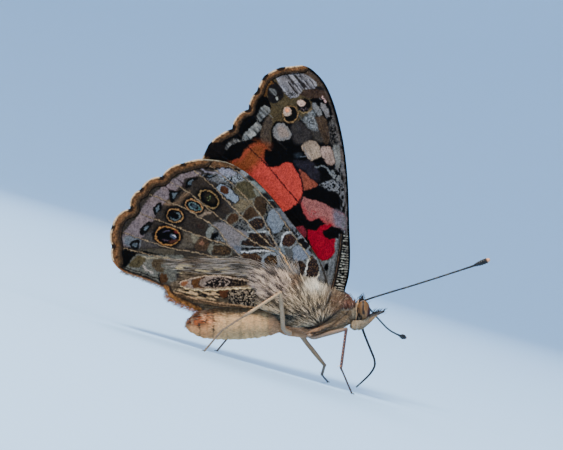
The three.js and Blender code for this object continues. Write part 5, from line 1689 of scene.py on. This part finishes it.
WING_HAIR = [
    (-4.6, -1.2), (-2.4, 1.6), (-4.4, 2.6), (-6.6, 2.6), (-8.4, 4.0), (-12, 4.5), (-16, 4.4), (-20.5, 4.3),
    (-20.5, 3.1), (-16, 2.5), (-13, 2.4), (-10.5, 2.0), (-8.6, 1.0), (-7.2, 0.5), (-6.4, -0.4),
    (-5.2, -1.8),
]


def make_wing_hair(fur):
    """Long fine hair that streams back over the inner part of the hindwing."""
    loop = spline(WING_HAIR, 4, closed=True)
    count = TUFTS["wing"]
    for name, side, rng, seed in each_side("wing"):
        x = -2 - 18.5 * rng.uniform(0, 1, count * 5) ** 1.35
        z = rng.uniform(-2, 4.8, count * 5)
        keep = is_inside(x, z, loop)
        x, z = x[keep][:count], z[keep][:count]
        n = len(x)
        long = rng.uniform(1.6, 3.6, n) * (1 - 0.3 * smoothstep(-x, 12, 20))
        angle = lie(x, z) + rng.normal(0, 0.07, n) + 0.12 * noise(x, z, 1.1, seed + 20)
        end_x, end_z = x + np.cos(angle) * long / 2, z + np.sin(angle) * long / 2
        later = lie(end_x, end_z) + rng.normal(0, 0.06, n)
        steps = [(x, z), (end_x, end_z), (end_x + np.cos(later) * long / 2,
                                          end_z + np.sin(later) * long / 2)]
        lifts = (-0.04, rng.uniform(0.06, 0.2, n), rng.uniform(0.04, 0.3, n))
        path = [over_hindwing(*step, side, lift) for step, lift in zip(steps, lifts)]
        streak = noise(z + 0.25 * x, x * 0.12, 0.11, 55)
        tips = plain((192, 186, 176), n)
        tint(tips, 0.6 * smoothstep(noise(x * 0.3, z, 0.8, 56), 0.0, 0.4), (170, 142, 112))
        tint(tips, 0.9 * smoothstep(streak, 0.0, 0.25), (40, 30, 24))
        shade = rng.uniform(0.7, 1.25, n)[:, None]
        # roots at half the tips' colour: painted shade deep in the coat
        make_coat(f"coat_wing_{name}", fur, path, outward(side, n), rng.uniform(0.022, 0.038, n),
                  tips * shade * 0.5, tips * shade, np.stack([x, z], 1))


def make_edge_hair(fur):
    """Short fine hair that stands out from the rear edges of the hindwings."""
    line = evenly(spline(HINDWING_BACK[0][1:], 8), 0.05)
    n = TUFTS["edge"]
    for name, side, rng, _ in each_side("edge"):
        at = rng.integers(0, len(line) - 1, n)
        x, z = (line[at] + rng.uniform(-0.05, 0.05, (n, 2))).T
        z = z + rng.uniform(0, 0.25, n)
        lower = smoothstep(-z, -0.4, 1.0)
        long = rng.uniform(0.35, 0.75, n) * (1 + 0.7 * lower)
        angle = math.pi + rng.normal(0.62, 0.16, n) - 0.1 * lower
        path = []
        for share, lift in ((0, -0.03), (0.5, 0.06), (1, 0.02)):
            px, pz = x + np.cos(angle) * long * share, z + np.sin(angle) * long * share
            path.append(over_hindwing(px, pz, side, lift, rng.uniform(-0.6, 1, n)))
        tips = plain((176, 158, 136), n)
        tint(tips, lower, (186, 134, 72))
        tips *= rng.choice([0.3, 0.7, 1.0, 1.2], n)[:, None]
        # roots at half the tips' colour: painted shade deep in the coat
        make_coat(f"coat_edge_{name}", fur, path, outward(side, n), rng.uniform(0.03, 0.05, n), tips * 0.5,
                  tips, np.stack([x, z], 1))


def on_skin(skin, wanted, kind):
    """Seeded places spread over the part of the skin that is wanted, with their normals."""
    mesh = skin.data
    mesh.calc_loop_triangles()
    corners = read(mesh.loop_triangles, "vertices", np.int32)
    co = in_own_frame(read(mesh.vertices, "co"))
    no = in_own_frame(read(mesh.vertices, "normal"), moved=False)
    a, b, c = (co[corners[:, k]] for k in range(3))
    area = np.linalg.norm(np.cross(b - a, c - a), axis=1) * wanted((a + b + c) / 3, no[corners[:, 0]])
    count = TUFTS[kind]
    rng = np.random.default_rng(COAT_SEEDS[kind])
    chosen = rng.choice(len(corners), count, p=area / area.sum())
    u, v = rng.uniform(0, 1, (2, count))
    over = u + v > 1
    u, v = np.where(over, 1 - u, u)[:, None], np.where(over, 1 - v, v)[:, None]
    a, b, c = (corners[chosen, k] for k in range(3))
    place = co[a] * (1 - u - v) + co[b] * u + co[c] * v
    normal = unit(no[a] * (1 - u - v) + no[b] * u + no[c] * v)
    return place, normal, rng


def lying(place, normal, heading, long, lift):
    """Middle and tip of tufts that lie along the skin and lift off it a little."""
    along = unit(heading - normal * np.sum(heading * normal, 1, keepdims=True))
    middle = place + along * (long / 2)[:, None] + normal * (lift * 0.7)[:, None]
    tip = place + along * long[:, None] + normal * (lift * 0.9)[:, None]
    return place - normal * 0.04, middle, tip


def round_the_body(place, middle=-3.8):
    """Unwrap by x and by the angle round a line along the body."""
    return np.stack([place[:, 0], np.arctan2(place[:, 1], -(place[:, 2] - middle))], 1)


def make_back_coat(fur, skin):
    """Upright hair along the back and on the collar, and sleek hair below the hairline."""
    def wanted(p, n):
        x, z = p[:, 0], p[:, 2]
        strip = (z < height_on(HAIRLINE, x) + 0.1) & (x > -7) & (x < 4.6)
        top = (n[:, 2] > 0.35) & (z > -3) & (x > -6.5) & (x < 5)
        return np.where(strip, 1.0, 0) + np.where(top, 1.4, 0)

    place, normal, rng = on_skin(skin, wanted, "back")
    x, y, z = place.T
    n = len(x)
    top = z > -2.8
    heading = np.tile([-1.0, 0, -0.28], (n, 1))
    heading[top] = (-1.0, 0, 0.15)
    heading[top & (x > 2.8)] = (-0.35, 0, 1)
    long = np.where(top, rng.uniform(0.6, 1.4, n), rng.uniform(0.35, 0.7, n))
    lift = np.where(top, rng.uniform(0.15, 0.5, n), rng.uniform(0.05, 0.16, n))
    tips = plain((204, 180, 148), n)
    tint(tips, smoothstep(x, -1, 1.5), (172, 154, 122))
    tips *= (1 + 0.4 * noise(z * 1.6 + 0.5 * x, x * 0.2, 0.3, 81))[:, None]
    # painted shade in the creases along the hairline and along the front leg's lower edge
    folds = smoothstep(-np.abs(z - height_on(HAIRLINE, x)), -0.32, -0.1) * smoothstep(x, -2.6, -1.5)
    lower = np.interp(x, [-2, 0, 2, 3.4, 4.6], [-6.1, -5.65, -4.8, -3.7, -2.4])
    folds = np.maximum(folds, 0.75 * smoothstep(-np.abs(z - lower), -0.22, -0.05) * smoothstep(x, -2, -1))
    tint(tips, np.where(top, 0, folds), (48, 34, 28))
    back = plain((160, 136, 104), top.sum())
    tint(back, smoothstep(x[top], 2.2, 3.2), (132, 84, 62))
    tips[top] = back * (1 + 0.9 * noise(x[top], y[top], 0.3, 82))[:, None]
    pale = smoothstep(noise(x, y + z, 0.2, 85), 0.25, 0.45) * (top & (x > 1.2))
    tint(tips, 0.5 * pale, (196, 180, 164))
    tint(tips, 0.8 * smoothstep(x, 2.9, 3.5) * smoothstep(z, -2.6, -1.8), (116, 72, 56))
    tips = np.clip(tips, DARKEST, 1) * rng.uniform(0.75, 1.2, n)[:, None]
    # roots at half the tips' colour: painted shade deep in the coat
    make_coat("coat_back_and_belly", fur, lying(place, normal, heading, long, lift), normal,
              rng.uniform(0.05, 0.09, n), tips * 0.5, tips, round_the_body(place))


def make_abdomen_coat(fur, skin):
    """Short hair that lies along the abdomen, raised along its back, orange and black at its end."""
    place, normal, rng = on_skin(skin, lambda p, n: (p[:, 0] < -5.6) * 1.0, "abdomen")
    x, y, z = place.T
    n = len(x)
    tips = body_colours(place) * rng.uniform(0.7, 1.3, n)[:, None]
    end = smoothstep(-x, 14.2, 15.6) * smoothstep(z, -5.4, -4.4)
    ridge = smoothstep(normal[:, 2], 0.35, 0.8) * smoothstep(-x, 11, 12.6)
    hue = noise(x, z + y, 0.22, 83)
    tint(tips, end * smoothstep(hue, -0.3, 0.1), (200, 136, 66))
    tint(tips, end * smoothstep(-hue, 0.05, 0.3), (30, 24, 20))
    tint(tips, 0.8 * end * smoothstep(noise(x, z - y, 0.3, 84), 0.3, 0.5), (220, 204, 180))
    long = rng.uniform(0.35, 0.75, n) * (1 + 0.7 * end)
    lift = rng.uniform(0.05, 0.14, n) + 0.22 * end + rng.uniform(0, 0.55, n) * ridge
    path = lying(place, normal, np.tile([-1.0, 0, 0], (n, 1)), long, lift)
    # roots darker than the tips: painted shade deep in the coat
    make_coat("coat_abdomen", fur, path, normal, rng.uniform(0.07, 0.12, n), tips * 0.6, tips,
              round_the_body(place))


def make_head_coat(fur, skin):
    """Short hair on the head and palps, upright on the crown, with a few long bristles."""
    def wanted(p, n):
        x, y, z = p.T
        clear_of_eye = np.hypot((x - EYE["x"]) / 0.9, (z - EYE["z"]) / 1.32) > 1
        return np.where((x > 4.4) & (clear_of_eye | (np.abs(y) < 0.75)), 1.0, 0)

    place, normal, rng = on_skin(skin, wanted, "head")
    x, y, z = place.T
    n = len(x)
    crown = smoothstep(z, -2.1, -1.6)
    beside_eye = (np.abs(x - 5.2) < 0.4) & (z > -4.3)
    heading = np.stack([np.where(x > 5.2, 1.0, -0.4), np.zeros(n), 0.55 + 0.3 * smoothstep(x, 6, 8)], 1)
    heading[beside_eye] = (-0.1, 0, -1)
    heading[crown > 0.5] = (0.15, 0, 1)
    bristle = rng.uniform(0, 1, n) < 0.12 * (crown + 0.6 * smoothstep(x, 6.8, 7.4) * (z > -3.4))
    long = rng.uniform(0.2, 0.4, n) * (1 + 0.9 * crown) * (1 + 1.3 * bristle)
    lift = rng.uniform(0.02, 0.07, n) + 0.25 * crown + 0.5 * bristle
    tips = body_colours(place) * rng.uniform(0.75, 1.2, n)[:, None]
    tips[bristle] = linear(26, 18, 16)
    # roots darker than the tips: painted shade deep in the coat
    make_coat("coat_head", fur, lying(place, normal, heading, long, lift), normal,
              rng.uniform(0.04, 0.07, n), tips * 0.7, tips, round_the_body(place, -3.6))


def make_coats(skin):
    fur = painted_material(
        "fur", roughness=0.5, cell=0.05, low=0.85, high=1.15, relief=0.004, Specular_IOR_Level=0.25)
    hindwing = outline_of(HINDWING_FRONT, HINDWING_TEETH, *HINDWING_BACK)
    forewing = outline_of(FOREWING_FRONT, FOREWING_TEETH, FOREWING_BACK)
    make_breast_coats(fur, hindwing, forewing)
    make_wing_hair(fur)
    make_edge_hair(fur)
    make_back_coat(fur, skin)
    make_abdomen_coat(fur, skin)
    make_head_coat(fur, skin)


# Eyes


def make_eyes():
    shiny = painted_material(
        "eye", roughness=0.5, cell=0.045, low=0.85, high=1.1, relief=0.004, Specular_IOR_Level=0.22)
    for name, side in SIDES:
        points, triangles = ball((EYE["x"], side * EYE["y"], EYE["z"]), EYE["size"])
        x, _, z = points.T
        u, w = (x - EYE["x"]) / EYE["size"][0], (z - EYE["z"]) / EYE["size"][2]
        rgb = plain((134, 96, 48), len(points))
        for field, low, high, colour in (
            (noise(x, z * 0.3, 0.3, 71), 0.12, 0.35, (34, 22, 14)),
            (noise(x, z * 0.4, 0.2, 72), 0.2, 0.45, (160, 122, 76)),
            (u - 0.25 * w, 0.6, 0.8, (78, 24, 18)),
            (-u - 0.1 * w, 0.78, 0.88, (16, 11, 10)),
            (np.hypot(u, w), 0.93, 0.99, (40, 20, 14)),
        ):
            tint(rgb, smoothstep(field, low, high), colour)
        finish_piece(mesh_of(f"eyeball_{name}", points, triangles, rgb), shiny, "eye", f"eye_{name}")


# Feelers, tongue and legs

PROBOSCIS = [
    (5.75, 0, -4.3, 0.17), (5.95, 0, -5.4, 0.17), (6.45, 0, -6.8, 0.16), (7.1, 0, -8.4, 0.16),
    (7.6, 0, -9.7, 0.15), (7.62, 0, -10.7, 0.15), (7.0, 0, -11.75, 0.14), (6.0, 0, -12.75, 0.13),
    (5.05, 0, -13.6, 0.1),
]
FEELERS = {
    "right": [
        (6.2, -0.45, -1.75, 0.17), (6.9, -0.75, -1.2, 0.14), (14.0, -2.9, 1.05, 0.13),
        (20.6, -4.8, 3.25, 0.145), (21.5, -5.05, 3.6, 0.24), (22.2, -5.22, 3.87, 0.36),
        (22.9, -5.45, 4.15, 0.37), (23.35, -5.6, 4.35, 0.18),
    ],
    "left": [
        (6.2, 0.45, -1.75, 0.17), (6.7, 1.5, -2.3, 0.14), (8.2, 6.0, -4.05, 0.13), (10.0, 11.2, -5.9, 0.13),
        (11.6, 14.3, -6.85, 0.15), (12.2, 15.4, -7.1, 0.36), (12.7, 16.3, -7.3, 0.18),
    ],
}
LEGS = {
    "midleg_right": {
        "hip": (-1.6, -1.5, -6.2), "trochanter": (-0.9, -2.0, -6.55), "knee": (3.6, -3.5, -5.35),
        "ankle": (2.85, -4.3, -10.7), "instep": None, "toe": (4.3, -5.0),
    },
    "midleg_left": {
        "hip": (-2.6, 1.2, -6.3), "trochanter": (-1.9, 1.9, -7.4), "knee": (0.7, 3.6, -10.7),
        "ankle": (0.35, 6.6, -12.2), "instep": None, "toe": (1.2, 8.6),
    },
    "hindleg_right": {
        "hip": (-4.2, -1.6, -5.9), "trochanter": (-5.1, -2.7, -5.3), "knee": (-5.55, -4.9, -0.25),
        "ankle": (-10.5, -5.6, -3.45), "instep": (-13.6, -5.4, -5.4), "toe": (-16.1, -5.0),
    },
    "hindleg_left": {
        "hip": (-4.2, 1.6, -5.9), "trochanter": (-5.1, 2.8, -5.3), "knee": (-5.6, 5.1, -0.9),
        "ankle": (-9.9, 5.9, -4.2), "instep": (-12.4, 5.8, -6.2), "toe": (-14.6, 5.6),
    },
}
LEG_RADIUS = {
    "hip": 0.4, "trochanter": 0.32, "thigh": 0.33, "knee": 0.24, "shin": 0.2, "ankle": 0.17, "foot": 0.13,
}
LEG_COLOURS = {  # thigh, shin, foot
    "midleg_right": ((158, 128, 98), (98, 48, 38), (76, 54, 44)),
    "midleg_left": ((164, 132, 84), (150, 118, 74), (100, 76, 54)),
    "hindleg_right": ((170, 152, 120), (186, 162, 124), (158, 132, 100)),
    "hindleg_left": ((170, 144, 102), (176, 144, 100), (140, 112, 80)),
}


FEELER_RING = 0.36  # mm from one ring to the next
FOOT_RING = 0.9
SPINES = 10  # pairs down a shin, with a pair of spurs after them


def over_floor(x, y, height):
    """A point at a height over the floor under x."""
    return (x + height * math.sin(NOSE_UP), y, floor_at(x) + height * math.cos(NOSE_UP))


def between(a, b, share):
    return tuple(p + (q - p) * share for p, q in zip(a, b))


def leg_rows(joints):
    """Centres and radii down a leg."""
    r = LEG_RADIUS
    hip, trochanter, knee, ankle = (joints[j] for j in ("hip", "trochanter", "knee", "ankle"))
    toe = over_floor(*joints["toe"], r["foot"])
    rows = [(*hip, r["hip"]), (*trochanter, r["trochanter"])]
    for share, radius in ((0.3, r["thigh"]), (0.7, r["thigh"] * 0.9), (0.94, r["knee"])):
        rows.append((*between(trochanter, knee, share), radius))
    rows.append((*knee, r["knee"] * 1.02))
    for share, radius in ((0.06, r["knee"] * 0.9), (0.3, r["shin"]), (0.9, r["shin"] * 1.05)):
        rows.append((*between(knee, ankle, share), radius))
    rows.append((*ankle, r["ankle"]))
    foot = [ankle, joints["instep"], toe] if joints["instep"] else [ankle, toe]
    return rows + [(*p, r["foot"]) for p in evenly(foot, 0.5)[1:]]


def leg_spines(joints):
    """Short spines in two rows down the shin, with a pair of longer spurs at its end."""
    knee, ankle = np.array(joints["knee"]), np.array(joints["ankle"])
    down = unit(ankle - knee)
    outward_way = unit(np.cross(down, (0.0, 0.0, 1.0)) + 1e-6)
    back = np.cross(outward_way, down)
    for step in range(SPINES + 1):
        for way in (-1, 1):
            lean = unit(0.6 * down + back * math.copysign(0.8, -back[0]) + 0.5 * way * outward_way)
            start = knee + (ankle - knee) * (0.12 + 0.08 * step) + lean * 0.12
            long = 0.6 if step == SPINES else 0.26
            yield [(*start, 0.04), (*(start + lean * long * 0.6), 0.032), (*(start + lean * long), 0.01)]


def leg_claws(joints):
    """A pair of curved claws at the end of the foot, just over the floor."""
    before = joints["instep"] or joints["ankle"]
    x, y = joints["toe"][:2]
    flat = unit(np.array([x - before[0], y - before[1]]))
    shape = ((0, 0.03, 0.14, 0.06), (0.2, 0.1, 0.2, 0.05), (0.36, 0.13, 0.06, 0.02))
    for way in (-1, 1):
        side = np.array([-flat[1], flat[0]]) * way
        rows = []
        for reach, aside, height, radius in shape:
            px, py = np.array([x, y]) + flat * reach + side * aside
            rows.append((*over_floor(px, py, height), radius))
        yield rows


def make_tongue(dark):
    points, triangles, along = tube(PROBOSCIS, sides=12, steps=10)
    rgb = plain((15, 11, 11), len(points)) * (1 + 0.3 * np.sin(along * 40))[:, None]
    finish_piece(mesh_of("tongue", points, triangles, rgb), dark, "dark_chitin", "proboscis")


def feeler_wave(along):
    """1 at every ring of a feeler and -1 between two."""
    return np.cos(along * 2 * math.pi / FEELER_RING)


def make_feelers(dark):
    """Dark and ringed, with faint pale rings up to the club and a pale tip."""
    for name, rows in FEELERS.items():
        points, triangles, along = tube(rows, sides=14, steps=28,
                                        shape=lambda at: 1 + 0.07 * feeler_wave(at))
        end = along.max()
        rgb = plain((22, 17, 15), len(points))
        pale = smoothstep(feeler_wave(along), 0.55, 0.9) * fade(along, end - 3.5, end - 2.4)
        tint(rgb, 0.4 * pale, (150, 138, 122))
        tint(rgb, smoothstep(along, end - 0.42, end - 0.2), (206, 176, 142))
        finish_piece(mesh_of(f"feeler_{name}", points, triangles, rgb), dark, "dark_chitin",
                     f"antenna_{name}")


def make_legs(horn):
    for name, joints in LEGS.items():
        thigh, shin, foot = LEG_COLOURS[name]
        points, triangles, along = tube(leg_rows(joints), sides=12, steps=4)
        knee_at = np.linalg.norm(np.subtract(joints["knee"], joints["trochanter"])) + 1
        ankle_at = knee_at + np.linalg.norm(np.subtract(joints["ankle"], joints["knee"]))
        rgb = plain(thigh, len(points))
        tint(rgb, smoothstep(along, knee_at - 0.5, knee_at + 0.3), shin)
        tint(rgb, smoothstep(along, ankle_at - 0.3, ankle_at + 0.3), foot)
        notch = smoothstep(np.cos((along - ankle_at) * 2 * math.pi / FOOT_RING), 0.75, 0.95)
        notch *= smoothstep(along, ankle_at, ankle_at + 0.3)
        rgb *= 1 - 0.5 * notch[:, None]
        parts, colours = [(points, triangles)], [rgb]
        for rows_of, sides, steps, colour in (
            (leg_spines(joints), 5, 2, (226, 206, 178)),
            (leg_claws(joints), 6, 3, (44, 28, 22)),
        ):
            for thorn in rows_of:
                parts.append(tube(thorn, sides=sides, steps=steps)[:2])
                colours.append(plain(colour, len(parts[-1][0])))
        made = mesh_of(f"leg_{name}", *together(*parts), np.concatenate(colours))
        finish_piece(made, horn, "leg_chitin", *[f"{name}_{part}" for part in ("femur", "tibia", "tarsus")])


def make_limbs():
    dark = painted_material(
        "dark_chitin", roughness=0.45, cell=0.1, low=0.8, high=1.2, relief=0.01, Specular_IOR_Level=0.3)
    horn = painted_material("leg_chitin", roughness=0.45, cell=0.12, low=0.75, high=1.2, relief=0.015)
    make_tongue(dark)
    make_feelers(dark)
    make_legs(horn)


make_wings()
make_coats(make_body())
make_eyes()
make_limbs()
